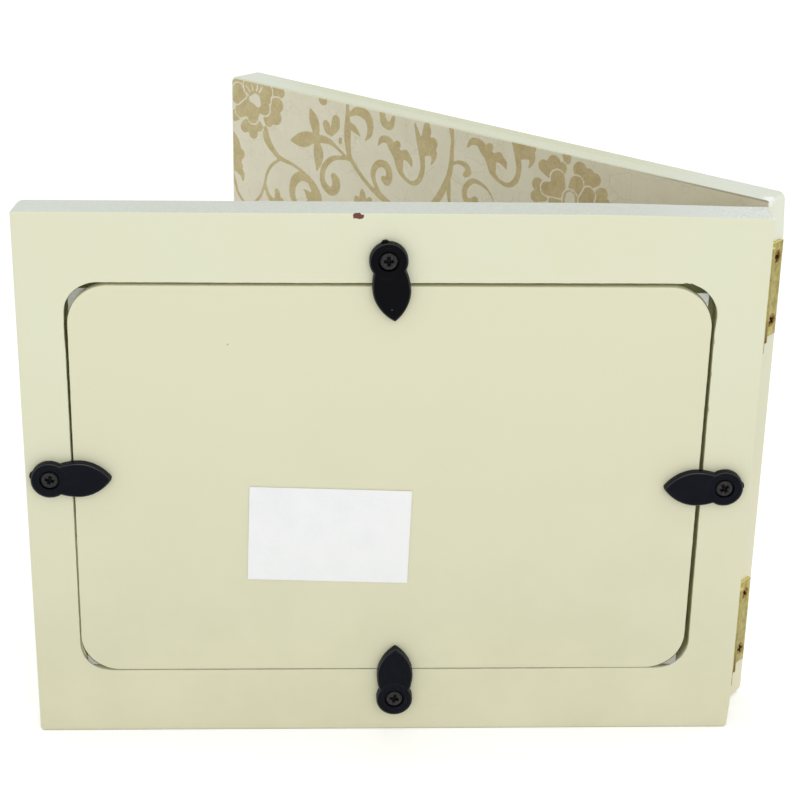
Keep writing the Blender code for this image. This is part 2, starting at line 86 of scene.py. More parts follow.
AXIS = Vector((93.0 * MM, 5.3 * MM, 0.0))  # of the hinges
AXIS_OUT = 1.5 * MM
AXIS_AHEAD = 0.8 * MM
OPEN_ANGLE = math.radians(41.66)
OPENED = Matrix.Translation(AXIS) @ Matrix.Rotation(-OPEN_ANGLE, 4, "Z")
HINGES = {"upper": 119.5 * MM, "lower": 24.1 * MM}
HINGE_LENGTH = 25.0 * MM
KNUCKLE_RADIUS = 1.5 * MM
LEAF_THICK = 0.8 * MM
LEAF_REACH = 8.2 * MM
LEAF_PLAY = 0.03 * MM  # above and below a leaf in its seat
LEAF_SINK = 0.3 * MM  # how far the far edge of a leaf on the frame is let in below its knuckles
LEAF_SINK_START = 1.6 * MM  # distance from the axis
HINGE_SCREW_OFFSET = 8.5 * MM
HINGE_SCREW_REACH = 5.9 * MM

CORNER_STEPS = 24
SIDE_STEPS = 240


# Meshes


def joined(*parts):
    """Coordinates laid together, once arrays and plain numbers are spread to one shape."""
    return np.stack(np.broadcast_arrays(*parts), axis=-1)


def grid_quads(rows, columns, wrap_rows=False, wrap_columns=True):
    """Quads between neighbouring points of a grid that is stored row by row."""
    row = np.arange(rows if wrap_rows else rows - 1)[:, None]
    column = np.arange(columns if wrap_columns else columns - 1)
    below = (row + 1) % rows * columns
    beside = (column + 1) % columns
    quads = joined(row * columns + column, row * columns + beside, below + beside, below + column)
    return quads.reshape(-1, 4).tolist()


def add_mesh(name, points, faces):
    """A closed mesh: points that touch are merged and all faces are turned outwards."""
    mesh = bpy.data.meshes.new(name)
    mesh.from_pydata(np.reshape(points, (-1, 3)).tolist(), [], faces)
    shape = bmesh.new()
    shape.from_mesh(mesh)
    bmesh.ops.remove_doubles(shape, verts=shape.verts, dist=MERGE)
    bmesh.ops.recalc_face_normals(shape, faces=shape.faces)
    shape.to_mesh(mesh)
    shape.free()
    return mesh


def loft(name, loops, ring=False):
    """A skin over closed loops that pair up point by point. A ring joins the last loop to the first;
    otherwise the first and last loops are filled."""
    rows, columns, _ = loops.shape
    faces = grid_quads(rows, columns, wrap_rows=ring)
    if not ring:
        last = (rows - 1) * columns
        faces += [list(range(columns)), list(range(last, last + columns))]
    return add_mesh(name, loops, faces)


def slab(name, front, back):
    """A thin closed sheet between two grids of the same size: each row runs along the front and returns
    along the back, and strips of quads close the ends."""
    rows, columns, _ = front.shape
    points = np.concatenate((front, back[:, ::-1]), axis=1)
    faces = grid_quads(rows, 2 * columns)
    step = np.arange(columns - 1)
    strip = joined(step, step + 1, 2 * columns - 2 - step, 2 * columns - 1 - step)
    faces += strip.tolist() + (strip + (rows - 1) * 2 * columns).tolist()
    return add_mesh(name, points, faces)


def placed(points, matrix):
    """Points carried by a matrix."""
    turn = np.array(matrix.to_3x3())
    return points @ turn.T + np.array(matrix.translation)


def add_object(name, data):
    """A new object in the scene."""
    made = bpy.data.objects.new(name, data)
    bpy.context.scene.collection.objects.link(made)
    return made


def with_modifiers(mesh, settings):
    """The mesh after the given modifiers: (type, settings) pairs, applied in order."""
    carrier = add_object("carrier", mesh)
    for kind, values in settings:
        modifier = carrier.modifiers.new(kind, kind)
        for name, value in values.items():
            setattr(modifier, name, value)
    bpy.context.view_layer.update()
    made = bpy.data.meshes.new_from_object(carrier.evaluated_get(bpy.context.evaluated_depsgraph_get()))
    bpy.data.objects.remove(carrier)
    return made


def cut(mesh, cutter_meshes):
    """The mesh less the volumes of the cutters."""
    cutters = [add_object("cutter", each) for each in cutter_meshes]
    settings = [("BOOLEAN", {"operation": "DIFFERENCE", "object": cutter}) for cutter in cutters]
    made = with_modifiers(mesh, settings)
    for cutter in cutters:
        bpy.data.objects.remove(cutter)
    return made


def store(mesh, name, domain, values):
    """Keeps a number for each point or face of a mesh, for its material."""
    kept = np.asarray(values, np.float32).ravel()
    mesh.attributes.new(name, "FLOAT", domain).data.foreach_set("value", kept)


def vectors(elements, name):
    """A vector for each point or face of a mesh: its co, normal or center."""
    values = np.empty(3 * len(elements), np.float32)
    elements.foreach_get(name, values)
    return values.reshape(-1, 3)


def add_piece(name, mesh, material, body, slot, *nodes):
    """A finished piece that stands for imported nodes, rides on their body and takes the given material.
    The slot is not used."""
    mesh.materials.clear()
    mesh.materials.append(material)
    mesh.polygons.foreach_set("use_smooth", np.ones(len(mesh.polygons), bool))
    mesh.set_sharp_from_angle(angle=SHARP)
    piece = add_object(name, mesh)
    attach(piece, body)
    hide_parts(*nodes)


# Outlines and rows of the boards


def corner_loop(half_width, half_height, radius):
    """A rectangle with round corners, of one radius or of four, and with evenly spaced sides."""
    radius = np.broadcast_to(radius, 4)[:, None]
    turn = (np.arange(4)[:, None] + np.linspace(0, 1, CORNER_STEPS + 1)) * (math.pi / 2)
    middle_x = np.array((1, -1, -1, 1))[:, None] * (half_width - radius)
    middle_z = np.array((1, 1, -1, -1))[:, None] * (half_height - radius)
    corners = joined(middle_x + radius * np.cos(turn), middle_z + radius * np.sin(turn))
    start = corners[:, -1:]
    end = np.roll(corners[:, :1], -1, axis=0)
    share = np.linspace(0, 1, SIDE_STEPS + 2)[1:-1, None]
    return np.concatenate((corners, start + (end - start) * share), axis=1).reshape(-1, 2)


def upright(loop, depth, middle):
    """A flat loop stood up round a middle point, at a depth along Y."""
    return joined(loop[:, 0] + middle[0], depth, loop[:, 1] + middle[1])


def grown(loop, amount):
    """A loop moved outwards at each point, square to its own direction."""
    along = np.roll(loop, -1, axis=0) - np.roll(loop, 1, axis=0)
    along /= np.linalg.norm(along, axis=1)[:, None]
    return loop + joined(along[:, 1], -along[:, 0]) * np.reshape(amount, (-1, 1))


def unevenness(loop, waves, phase=1.7):
    """How far a cut edge strays, from -1 to 1: sine waves along the loop, each with its own phase."""
    step = np.linalg.norm(np.roll(loop, -1, axis=0) - loop, axis=1)
    share = np.cumsum(step) / step.sum() * 2 * math.pi
    return sum(np.sin(wave * share + phase * wave * wave) for wave in waves) / len(waves)


def dips(loop, places):
    """Round dips about their places on a loop: each is as deep as a bell curve of the distance from its
    place."""
    depth = np.zeros(len(loop))
    for x, z, size, deep in places:
        distance = np.hypot(loop[:, 0] - x * MM, loop[:, 1] - z * MM)
        depth += deep * MM * np.exp(-((distance / (size * MM)) ** 2))
    return depth


def smooth_rise(values, start, end):
    """0 below the start, 1 above the end, and a smooth rise between them."""
    share = np.clip((values - start) / (end - start), 0, 1)
    return share * share * (3 - 2 * share)


def quarter_round(radius, steps=5):
    """Insets and depths along an eased edge, from the face to the side."""
    turn = np.linspace(0, math.pi / 2, steps)
    return radius * (1 - np.sin(turn)), radius * (1 - np.cos(turn))


def board_rows(width, height, corners, eases, middle, near, far):
    """Rows round a board from its near face to its far face: flat margin, eased edge, side, eased edge and
    flat margin. Corners and eases are given for both faces."""
    near_inset, near_depth = quarter_round(eases[0])
    far_inset, far_depth = quarter_round(eases[1], 8)
    steps = [(eases[0] + FLAT_RING, near, corners[0])]
    steps += [(inset, near + depth, corners[0]) for inset, depth in zip(near_inset, near_depth)]
    steps += [(inset, far - depth, corners[1]) for inset, depth in zip(far_inset[::-1], far_depth[::-1])]
    steps += [(eases[1] + FLAT_RING, far, corners[1])]
    shrink, least = 0.6, 0.1 * MM  # of a corner's radius with the inset
    rows = []
    for inset, y, corner in steps:
        radius = np.maximum(corner - shrink * inset, least)
        loop = corner_loop(width / 2 - inset, height / 2 - inset, radius)
        rows.append(upright(loop, y, middle))
    return np.array(rows)


def hole_row(size, middle, y, wider=0.0, stray=0.0):
    """One row round a hole, widened evenly, and unevenly by stray."""
    width, height, corner = size
    loop = corner_loop(width / 2 + wider, height / 2 + wider, corner + wider)
    return upright(grown(loop, stray), y, middle)


def box_mesh(name, low, high):
    """A block between two corners, for cutting."""
    low, high = np.array(low), np.array(high)
    square = ((0, 0), (1, 0), (1, 1), (0, 1))
    unit = np.array([[(x, y, z) for x, y in square] for z in (0, 1)])
    return loft(name, low + (high - low) * unit)


def mortises(side, axis_x, axis_y):
    """Blocks for the shallow seats of the hinge leaves in a panel's end, which pass its end and one face;
    side is -1 on the frame and 1 on the cover."""
    past_end, past_face = mm(5.0, 3.0)
    floor = axis_x - KNUCKLE_RADIUS - SEAT - (LEAF_SINK if side < 0 else 0.0)
    inner = axis_y - side * past_face
    far = axis_y + side * (LEAF_REACH + SEAT)
    half = HINGE_LENGTH / 2 + LEAF_PLAY
    blocks = []
    for height in HINGES.values():
        low = (floor, min(inner, far), height - half)
        high = (floor + past_end, max(inner, far), height + half)
        blocks.append(box_mesh("mortise", low, high))
    return blocks


# Where the recess wanders from its line and where its edge is chipped: x, z, size and depth in millimetres
# about its middle
ROUTER_SWAY = (
    (79.4, 45.5, 3.2, 0.3),
    (-79.4, 41.0, 4.0, 0.15),
    (-77.2, -51.5, 4.0, 0.28),
    (62.0, -53.8, 14.0, -0.1),
)
TORN_CHIPS = (
    (71.6, 53.9, 0.45, 0.2),
    (73.0, 53.7, 0.4, 0.25),
    (79.5, 38.6, 0.5, 0.2),
    (79.5, 30.0, 0.5, 0.2),
    (79.5, 20.5, 0.6, 0.2),
)
# Rows of the recess's wall in millimetres: the depths that dust has reached, then depth, widening and share
# of chips
SILTED_ROWS = (5.75, 4.6, 3.6, 2.6, 1.5)
UPPER_ROWS = ((1.2, 0.0, 0.0), (0.6, 0.0, 0.5), (0.12, 0.0, 1.0), (0.0, 0.1, 1.0))
# Rows of the window's edge in millimetres: widening past the chamfer and depth
WINDOW_ROWS = ((0.6, 0.0), (0.1, 0.0), (-0.12, 0.1), (-1.7, 1.65), (-1.8, 1.9))


def recess_wall():
    """Rows up the wall of the recess, from its floor to the back. It wanders, its upper edge droops and is
    chipped, and dust has silted up its lower end away from the hinges."""
    rough, droop, dust = mm(0.05, 0.2, 0.35)
    loop = corner_loop(RECESS[0] / 2, RECESS[1] / 2, RECESS[2])
    x, z = loop.T
    sway = rough * unevenness(loop, (9, 23, 57, 111, 190)) + dips(loop, ROUTER_SWAY)
    sway -= droop * smooth_rise(z, 50 * MM, 53.8 * MM) * smooth_rise(-x, -55 * MM, 40 * MM)
    silt = dust * smooth_rise(-x, 74 * MM, 79 * MM) * smooth_rise(-z, -25 * MM, 35 * MM)
    chips = dips(loop, TORN_CHIPS)
    rows = []
    for depth in SILTED_ROWS:
        rows.append(hole_row(RECESS, RECESS_MIDDLE, BACK + depth * MM, stray=sway - silt))
    for depth, wider, share in UPPER_ROWS:
        rows.append(hole_row(RECESS, RECESS_MIDDLE, BACK + depth * MM, wider * MM, sway + share * chips))
    rows.append(hole_row(RECESS, RECESS_MIDDLE, BACK, 0.8 * MM))
    return rows


def frame_board():
    """The frame panel as one ring of rows: round the outside, into the chamfered window, across the recess
    floor and up the recess wall. Its upper edge drops towards the hinges, and its foot is rubbed back
    there."""
    drop, rubbed = mm(0.8, 0.35)
    size = (PANEL_WIDTH, PANEL_HEIGHT, FRAME_CORNERS, PANEL_EASES)
    outside = board_rows(*size, PANEL_MIDDLE, BACK, FRONT)
    by_hinges = smooth_rise(outside[..., 0], 45 * MM, 95 * MM)
    outside[..., 2] -= drop * by_hinges * smooth_rise(outside[..., 2], 120 * MM, 142 * MM)
    outside[..., 0] -= rubbed * by_hinges * smooth_rise(-outside[..., 2], -9 * MM, 0)
    rows = list(outside)
    for wider, depth in WINDOW_ROWS:
        rows.append(hole_row(WINDOW, RECESS_MIDDLE, FRONT - depth * MM, WINDOW_CHAMFER + wider * MM))
    rows.append(hole_row(WINDOW, RECESS_MIDDLE, RECESS_FLOOR))
    board = loft("frame_board", np.array(rows + recess_wall()), ring=True)
    return cut(board, mortises(-1, AXIS.x, AXIS.y))


def cover_board():
    """The cover panel, drawn closed and then opened, with its upper corner by the hinges rubbed back. Its
    points keep how far across the thickness they lie, from 0 inside to 1 outside, and its faces whether
    they belong to the end by the hinges."""
    rubbed = 0.65 * MM
    size = (PANEL_WIDTH, PANEL_HEIGHT, COVER_CORNERS, PANEL_EASES)
    middle = (-AXIS_OUT - PANEL_WIDTH / 2, PANEL_HEIGHT / 2)
    far = AXIS_AHEAD + FRONT - BACK
    rows = board_rows(*size, middle, AXIS_AHEAD, far)
    by_hinges = smooth_rise(rows[..., 0], -60 * MM, 0)
    rows[..., 0] -= rubbed * by_hinges * smooth_rise(rows[..., 2], 128 * MM, 143 * MM)
    board = cut(loft("cover_board", rows), mortises(1, 0.0, 0.0))
    depth = vectors(board.vertices, "co")[:, 1] - AXIS_AHEAD
    store(board, "across", "POINT", depth / (far - AXIS_AHEAD))
    store(board, "hinge_end", "FACE", smooth_rise(vectors(board.polygons, "normal")[:, 0], 0.5, 0.9))
    board.transform(OPENED)
    return board


def back_sheet():
    """The back board: a thin sheet with wide round corners, slightly out of square, with a sawn edge."""
    sawn = 0.03 * MM
    size = (*BOARD[:2], [BOARD_CORNERS] * 2, [SHEET_EASE] * 2)
    rows = board_rows(*size, BOARD_MIDDLE, BACK, BACK + BOARD_THICK)
    loop = rows[0][:, (0, 2)]
    rows[..., 0] += BOARD_LEAN * (rows[..., 2] - BOARD_MIDDLE[1])
    rows[1:-1, :, 0] += sawn * unevenness(loop, (31, 77, 143))
    return loft("back_sheet", rows)


def glass_sheet():
    """The pane: a flat sheet with ground edges."""
    far = RECESS_FLOOR - SEAT
    size = (*GLASS[:2], [GLASS[2]] * 2, [SHEET_EASE] * 2)
    return loft("glass_sheet", board_rows(*size, GLASS_MIDDLE, far - GLASS_THICK, far))


# Shader values


class Signal:
    """An output socket of a material. Arithmetic on it adds Math nodes, and node() adds any other node."""

    def __init__(self, tree, socket=None):
        self.tree = tree
        self.socket = socket

    def node(self, kind, settings, sockets, output=0):
        """A node of any type: its settings come first, then the values or links of its sockets."""
        made = self.tree.nodes.new("ShaderNode" + kind)
        for name, value in settings.items():
            setattr(made, name, value)
        for name, value in sockets.items():
            connect(self.tree, made.inputs[name], value)
        return Signal(self.tree, made.outputs[output])

    def math(self, operation, *terms):
        return self.node("Math", {"operation": operation}, dict(enumerate(terms)))

    def __add__(self, other):
        return self.math("ADD", self, other)

    def __sub__(self, other):
        return self.math("SUBTRACT", self, other)

    def __rsub__(self, other):
        return self.math("SUBTRACT", other, self)

    def __mul__(self, other):
        return self.math("MULTIPLY", self, other)

    __radd__ = __add__
    __rmul__ = __mul__

    def step(self, low, high):
        """0 below low, 1 above high, and a smooth rise between them; low above high gives a fall."""
        return self.node("MapRange", {"interpolation_type": "SMOOTHSTEP"}, {0: self, 1: low, 2: high})

    def most(self, other):
        return self.math("MAXIMUM", self, other)

    def noise(self, size, detail=2.0, roughness=0.5):
        """Cloudy noise over this position, with features of about this size in metres."""
        sockets = {"Vector": self, "Scale": 1 / size, "Detail": detail, "Roughness": roughness}
        return self.node("TexNoise", {}, sockets)

    def mix(self, first, second):
        """From the first colour to the second as this value goes from 0 to 1."""
        return self.node("Mix", {"data_type": "RGBA"}, {0: self, 6: first, 7: second}, output=2)

    def part(self, axis):
        """One coordinate of a position."""
        return self.node("SeparateXYZ", {}, {0: self}, output=axis)

    def stretched(self, *scale):
        """A position with its axes scaled, so that a pattern on it is drawn out."""
        return self.node("Mapping", {}, {"Vector": self, "Scale": scale})

    def stored(self, name):
        """A number that the mesh keeps for each point or face."""
        return self.node("Attribute", {"attribute_name": name}, {}, "Fac")

    def from_point(self, point):
        """Distance of this position from a point."""
        return self.node("VectorMath", {"operation": "DISTANCE"}, {0: self, 1: point}, output="Value")

    def any_ray(self, *kinds):
        """1 for rays of these kinds, 0 for all others."""
        outputs = self.node("LightPath", {}, {}).socket.node.outputs
        first, *others = (Signal(self.tree, outputs[f"Is {kind} Ray"]) for kind in kinds)
        for other in others:
            first = first.most(other)
        return first


def connect(tree, socket, value):
    """Links a signal to a socket, or sets a plain value on it."""
    if isinstance(value, Signal):
        tree.links.new(value.socket, socket)
    else:
        socket.default_value = value


def colour(red, green, blue):
    """A colour given as it looks on screen, from 0 to 255, as the shader's linear values."""
    shown = np.array((red, green, blue)) / 255
    linear = np.where(shown <= 0.04045, shown / 12.92, ((shown + 0.055) / 1.055) ** 2.4)
    return (*linear.tolist(), 1.0)


def layered(tone, *layers):
    """A tone with colours laid over it in turn, each with how much of the tone it covers."""
    for cover, shown in layers:
        tone = cover.mix(tone, colour(*shown))
    return tone


def start_material(name):
    """A new material's shader and the position on the object."""
    material = bpy.data.materials.new(name)
    material.use_nodes = True
    tree = material.node_tree
    place = Signal(tree).node("TexCoord", {}, {}, "Object")
    return material, tree.nodes["Principled BSDF"], place


def set_shader(shader, height=None, **values):
    """Sets the shader's sockets, named with underscores; height, in metres, becomes a bump."""
    tree = shader.id_data
    for name, value in values.items():
        connect(tree, shader.inputs[name.replace("_", " ")], value)
    if height is not None:
        bump = height.node("Bump", {}, {"Strength": 1.0, "Distance": 1.0, "Height": height})
        connect(tree, shader.inputs["Normal"], bump)


def sparse_specks(place, size, radius, share):
    """Lone round specks: the middles of cells of this size, kept in a share of the cells."""
    cells = {"Vector": place, "Scale": 1 / size}
    near = place.node("TexVoronoi", {}, cells, "Distance").step(radius / size, 0.6 * radius / size)
    pick = place.node("TexVoronoi", {}, cells, "Color").part(0)
    return near * pick.step(1 - share, 1 - 0.9 * share)


# Finishes

CHIP_NARROWING = 0.55  # of distances along x, which makes the chip wider than it is high


def overspray_and_sheen(place, tops, span):
    """The pale spray and painted sheen on edges that face up: a colour inside and one outside, across the
    thickness, and a third towards the ends of a span along x, given as its middle and half length."""
    inner, outer, end = tops
    middle, half = span
    outside = (place.stored("across") + 0.1 * place.noise(4 * MM, 3.0)).step(0.5, 0.64)
    away = place.part(0) - middle
    ends = away.math("ABSOLUTE", away).step(0.5 * half, 0.96 * half)
    return ends.mix(outside.mix(inner, outer), end)


def board_paint(name, upper, lower, tops, span, worn=None, flecked=0.0, chip=None):
    """Sprayed satin cream on fibreboard: painted shade from the lighter upper to the darker lower colour,
    blotches, orange peel, overspray with a painted sheen on faces that face up, thin paint over olive fibre
    with painted shade inside the recess, painted light on the end by the hinges, painted shade along the
    foot, stains and dust. Flecked is how much white flecks cover near the hinges, worn a corner and the
    reach of a painted highlight there, where the paint also looks rubbed white, and chip the place where
    the brown board is bare."""
    material, shader, place = start_material(name)
    x, height = place.part(0), place.part(2)
    # painted shade: the paint darkens with height from the upper colour to the lower one
    tone = (height + 0.03 * place.noise(60 * MM)).step(0.01, 0.14).mix(lower, upper)
    blotch = place.noise(22 * MM, 4.0, 0.6).step(0.3, 0.75) * 0.5
    tone = layered(tone, (blotch, (229, 226, 196)))
    edge = place.stored("edge")
    speckle = place.noise(0.9 * MM, 3.0, 0.7).step(0.25, 0.8)
    # overspray, and a painted sheen on faces that face up
    tone = (edge * (0.6 + 0.4 * speckle)).mix(tone, overspray_and_sheen(place, tops, span))
    # painted light: the end by the hinges is lightened, most near its top
    hinge_end = place.stored("hinge_end") * x.step(91.6 * MM, 95 * MM)
    lit_upper_end = hinge_end * height.step(100 * MM, 135 * MM)
    lit_lower_end = hinge_end * height.step(90 * MM, 20 * MM)
    flecks = place.noise(0.45 * MM, 2.0).step(0.46, 0.6) * x.step(55 * MM, 90 * MM)
    # olive fibre under thin paint, together with painted shade deep in the recess
    missed_spray_and_shade = place.stored("missed_spray_and_shade") * (0.8 + 0.2 * speckle)
    layers = [
        (0.6 * lit_upper_end, (240, 244, 231)),
        (0.7 * lit_lower_end, (236, 231, 200)),
        (flecked * flecks * edge, (238, 242, 242)),
        (missed_spray_and_shade, (152, 152, 88)),
    ]
    # paint rubbed white and a painted highlight on a corner
    if worn is not None:
        corner, reach = worn
        ragged = 0.7 * reach * place.noise(0.6 * MM, 3.0)
        rubbed = (place.from_point(corner) + ragged).step(reach, 0.6 * reach)
        layers.append((0.85 * rubbed, (250, 252, 251)))
    # painted shade along the foot of a board
    painted_shade = height.step(0.5 * MM, 0.1 * MM)
    stains = sparse_specks(place, 34 * MM, 1.6 * MM, 0.4)
    dust = sparse_specks(place, 19 * MM, 0.32 * MM, 0.35)
    layers += [
        (0.6 * painted_shade, (148, 145, 130)),
        (0.22 * stains, (230, 214, 160)),
        (0.55 * dust, (150, 142, 104)),
    ]
    tone = layered(tone, *layers)
    rough = 0.42 + 0.12 * place.noise(4 * MM, 3.0)
    peel = place.noise(0.7 * MM, 2.0) * 6e-6 + place.noise(6 * MM, 2.0) * 1.2e-5
    if chip is not None:
        ragged = place.noise(0.8 * MM, 3.0) * (0.9 * MM)
        narrowed = place.stretched(CHIP_NARROWING, 1.0, 1.0)
        middle = Vector((chip.x * CHIP_NARROWING, chip.y, chip.z))
        bare = (narrowed.from_point(middle) + ragged).step(1.25 * MM, 1.1 * MM)
        fibre = place.noise(0.3 * MM, 3.0).mix(colour(84, 44, 38), colour(132, 82, 68))
        tone = bare.mix(tone, fibre)
        rough = rough + 0.4 * bare
        peel = peel - bare * 1.2e-4
    set_shader(shader, height=peel, Base_Color=tone, Roughness=rough)
    return material


def printed_paper(name):
    """Lining paper with painted shade that deepens towards the hinge, brown mottling, fine crackle and a
    painted shadow along its upper edge near the hinge, and with tan ornament where its ink attribute, a
    distance in millimetres into the ornament, is above zero."""
    material, shader, place = start_material(name)
    # painted shade that deepens towards the hinge, where the panels close in
    dull = place.part(0).step(-75 * MM, 125 * MM)
    bent = place.node("VectorMath", {"operation": "ADD"}, {0: place, 1: place.noise(3 * MM) * 0.002})

    def shaded_to_hinge(open_end, by_hinge):
        return dull.mix(colour(*open_end), colour(*by_hinge))

    def cracks(size, width):
        cells = {"Vector": bent, "Scale": 1 / size}
        return bent.node("TexVoronoi", {"feature": "DISTANCE_TO_EDGE"}, cells).step(width, 0.0)

    ground = shaded_to_hinge((232, 228, 206), (202, 195, 172))
    cloud = place.noise(9 * MM, 4.0, 0.6).step(0.3, 0.75)
    ground = (0.3 * cloud).mix(ground, shaded_to_hinge((214, 205, 176), (187, 177, 152)))
    patch = place.noise(14 * MM, 2.0).step(0.4, 0.65)
    crackle = cracks(6 * MM, 0.03) * (0.2 + 0.8 * patch) + 0.6 * patch * cracks(2.2 * MM, 0.05)
    ground = (0.32 * crackle).mix(ground, shaded_to_hinge((196, 184, 152), (162, 148, 122)))
    tan = shaded_to_hinge((207, 194, 149), (180, 163, 121))
    grain = 0.5 * place.noise(4 * MM, 4.0, 0.65) + 0.5 * place.noise(0.8 * MM, 3.0, 0.7)
    tan = grain.step(0.32, 0.68).mix(tan, shaded_to_hinge((188, 172, 125), (160, 143, 101)))
    ragged = 0.16 * (place.noise(0.5 * MM, 2.0) - 0.5)
    tone = (place.stored("ink") + ragged).step(-0.09, 0.09).mix(ground, tan)
    # painted shadow along the paper's upper edge towards the hinge
    upper_edge = place.part(2).step(143.0 * MM, 143.25 * MM) * place.part(0).step(55 * MM, 84 * MM)
    tone = layered(tone, (0.5 * upper_edge, (112, 104, 96)))
    rough = 0.62 + 0.1 * place.noise(2 * MM)
    set_shader(shader, height=place.noise(0.35 * MM, 3.0) * 5e-6, Base_Color=tone, Roughness=rough)
    return material


def plain_paper(name, tone, shade):
    """Uncoated paper or card: cloudy fibres, a slight tooth, and a darker grey where a corner has sprung
    up.
    """
    material, shader, place = start_material(name)
    fibre = place.noise(0.6 * MM, 4.0, 0.7)
    cloud = place.noise(7 * MM, 3.0)
    mixed = (0.5 * fibre + 0.5 * cloud).step(0.3, 0.7).mix(tone, shade)
    mixed = layered(mixed, (0.9 * place.stored("sprung").step(1.0, 2.2), (164, 163, 148)))
    set_shader(shader, height=fibre * 6e-6, Base_Color=mixed, Roughness=0.5 + 0.15 * cloud)
    return material


def black_plastic(name):
    """Moulded blue-black plastic with painted shade that darkens the upper button: faint grain, dull
    scuffs, pale dust, and a rim polished by fingers."""
    material, shader, place = start_material(name)
    cloud = place.noise(3 * MM, 3.0)
    # painted shade: the upper button is darker
    upper = place.part(2).step(100 * MM, 118 * MM)
    dust = sparse_specks(place, 5 * MM, 0.14 * MM, 0.25)
    tone = cloud.mix(colour(9, 11, 18), colour(17, 19, 27))
    tone = layered(tone, (0.85 * upper, (1, 1, 3)), (0.8 * dust, (150, 150, 150)))
    grain = place.noise(0.16 * MM, 2.0) * 4e-6
    set_shader(shader, height=grain, Base_Color=tone, Roughness=0.3 + 0.12 * cloud, Specular_IOR_Level=0.07,
               Coat_Weight=0.8 * place.stored("rim"), Coat_Roughness=0.15, Coat_IOR=1.6)
    return material


def black_steel(name):
    """Blackened screw steel: dull grey with worn lighter edges of the coating, and painted shade in the
    cross.
    """
    material, shader, place = start_material(name)
    wear = place.noise(0.5 * MM, 4.0, 0.65).step(0.3, 0.75)
    tone = wear.mix(colour(34, 34, 35), colour(66, 64, 63))
    # painted shade filling the cross
    tone = layered(tone, (place.stored("sunk").step(0.1, 0.7), (6, 6, 7)))
    set_shader(shader, height=wear * 8e-6, Base_Color=tone, Roughness=0.62 - 0.12 * wear, Metallic=0.3,
               Specular_IOR_Level=0.15)
    return material


def brass(name, bright, dull):
    """Rolled brass: lengthwise drawing lines, cloudy tarnish, an olive bloom over the middle of a leaf,
    painted shade on the lowest knuckle, a painted highlight on the upper edge, and painted shade in the
    cross of a screw."""
    material, shader, place = start_material(name)
    lines = place.stretched(1.0, 1.0, 0.02).noise(0.12 * MM, 3.0)
    tarnish = place.noise(2.2 * MM, 4.0, 0.65).step(0.35, 0.75)
    streaks = place.stretched(1.0, 1.0, 0.05).noise(0.9 * MM, 3.0)
    bloom = place.stored("middle") * streaks.step(0.2, 0.7)
    # painted shade on the lowest knuckle, between the panels
    knuckle_shade = 0.9 * place.stored("rolled")
    # painted highlight on the leaf's upper edge
    top_highlight = place.stored("top_highlight")
    # painted shade in the cross of a screw
    painted_shade = place.stored("sunk").step(0.1, 0.7)
    tone = (0.65 * tarnish + 0.35 * lines).mix(bright, dull)
    tone = layered(tone, (bloom, (146, 140, 92)), (knuckle_shade, (96, 70, 26)), (0.85 * top_highlight, (238, 222, 140)),
                   (painted_shade, (50, 33, 10)))
    set_shader(shader, height=lines * 3e-6, Base_Color=tone, Roughness=0.28 + 0.2 * tarnish + 0.1 * lines,
               Metallic=1.0 - knuckle_shade.most(0.7 * top_highlight), Specular_IOR_Level=0.1)
    return material


def clear_glass(name):
    """Picture glass with a faint green body. Light from the lamps and from matt surfaces passes straight
    through."""
    material, shader, place = start_material(name)
    set_shader(shader, Base_Color=colour(238, 248, 243), Roughness=0.02, Transmission_Weight=1.0, IOR=1.5)
    passing = place.any_ray("Shadow", "Diffuse")
    body = Signal(place.tree, shader.outputs[0])
    both = place.node("MixShader", {}, {0: passing, 1: body, 2: place.node("BsdfTransparent", {}, {})})
    connect(place.tree, place.tree.nodes["Material Output"].inputs["Surface"], both)
    return material


# Fasteners

# Radius of the head and of the shank, height of the dome and of the rim under it, and the cross: reach,
# half width and depth
BUTTON_SCREW = mm(2.06, 1.2, 0.2, 0.6, 1.3, 0.36, 0.7)
HINGE_SCREW = mm(1.75, 0.85, 0.05, 0.0, 1.35, 0.36, 0.55)
SCREW_LENGTH = 8.0 * MM
SCREW_RINGS = np.linspace(0.02, 1, 34) * 0.97  # shares of the head's radius
CROSS_SLOPE = 0.22 * MM


def turned(profile, steps=48):
    """A profile of (radius, height) points spun about Z."""
    radius, height = np.array(profile).T[..., None]
    turn = np.arange(steps) * (2 * math.pi / steps)
    return joined(radius * np.cos(turn), radius * np.sin(turn), height)


def cross_depth(points, reach, half_width):
    """How deep the cross is at each point, from 0 to 1: two arms with sloping walls, whose ends slope
    too."""
    x, y = np.abs(points[..., 0]), np.abs(points[..., 1])

    def arm(along, across):
        side = np.clip((half_width - across) / CROSS_SLOPE + 0.5, 0, 1)
        end = np.clip((reach - along) / (2 * CROSS_SLOPE), 0, 1)
        return np.minimum(side, end)

    return np.maximum(arm(x, y), arm(y, x))


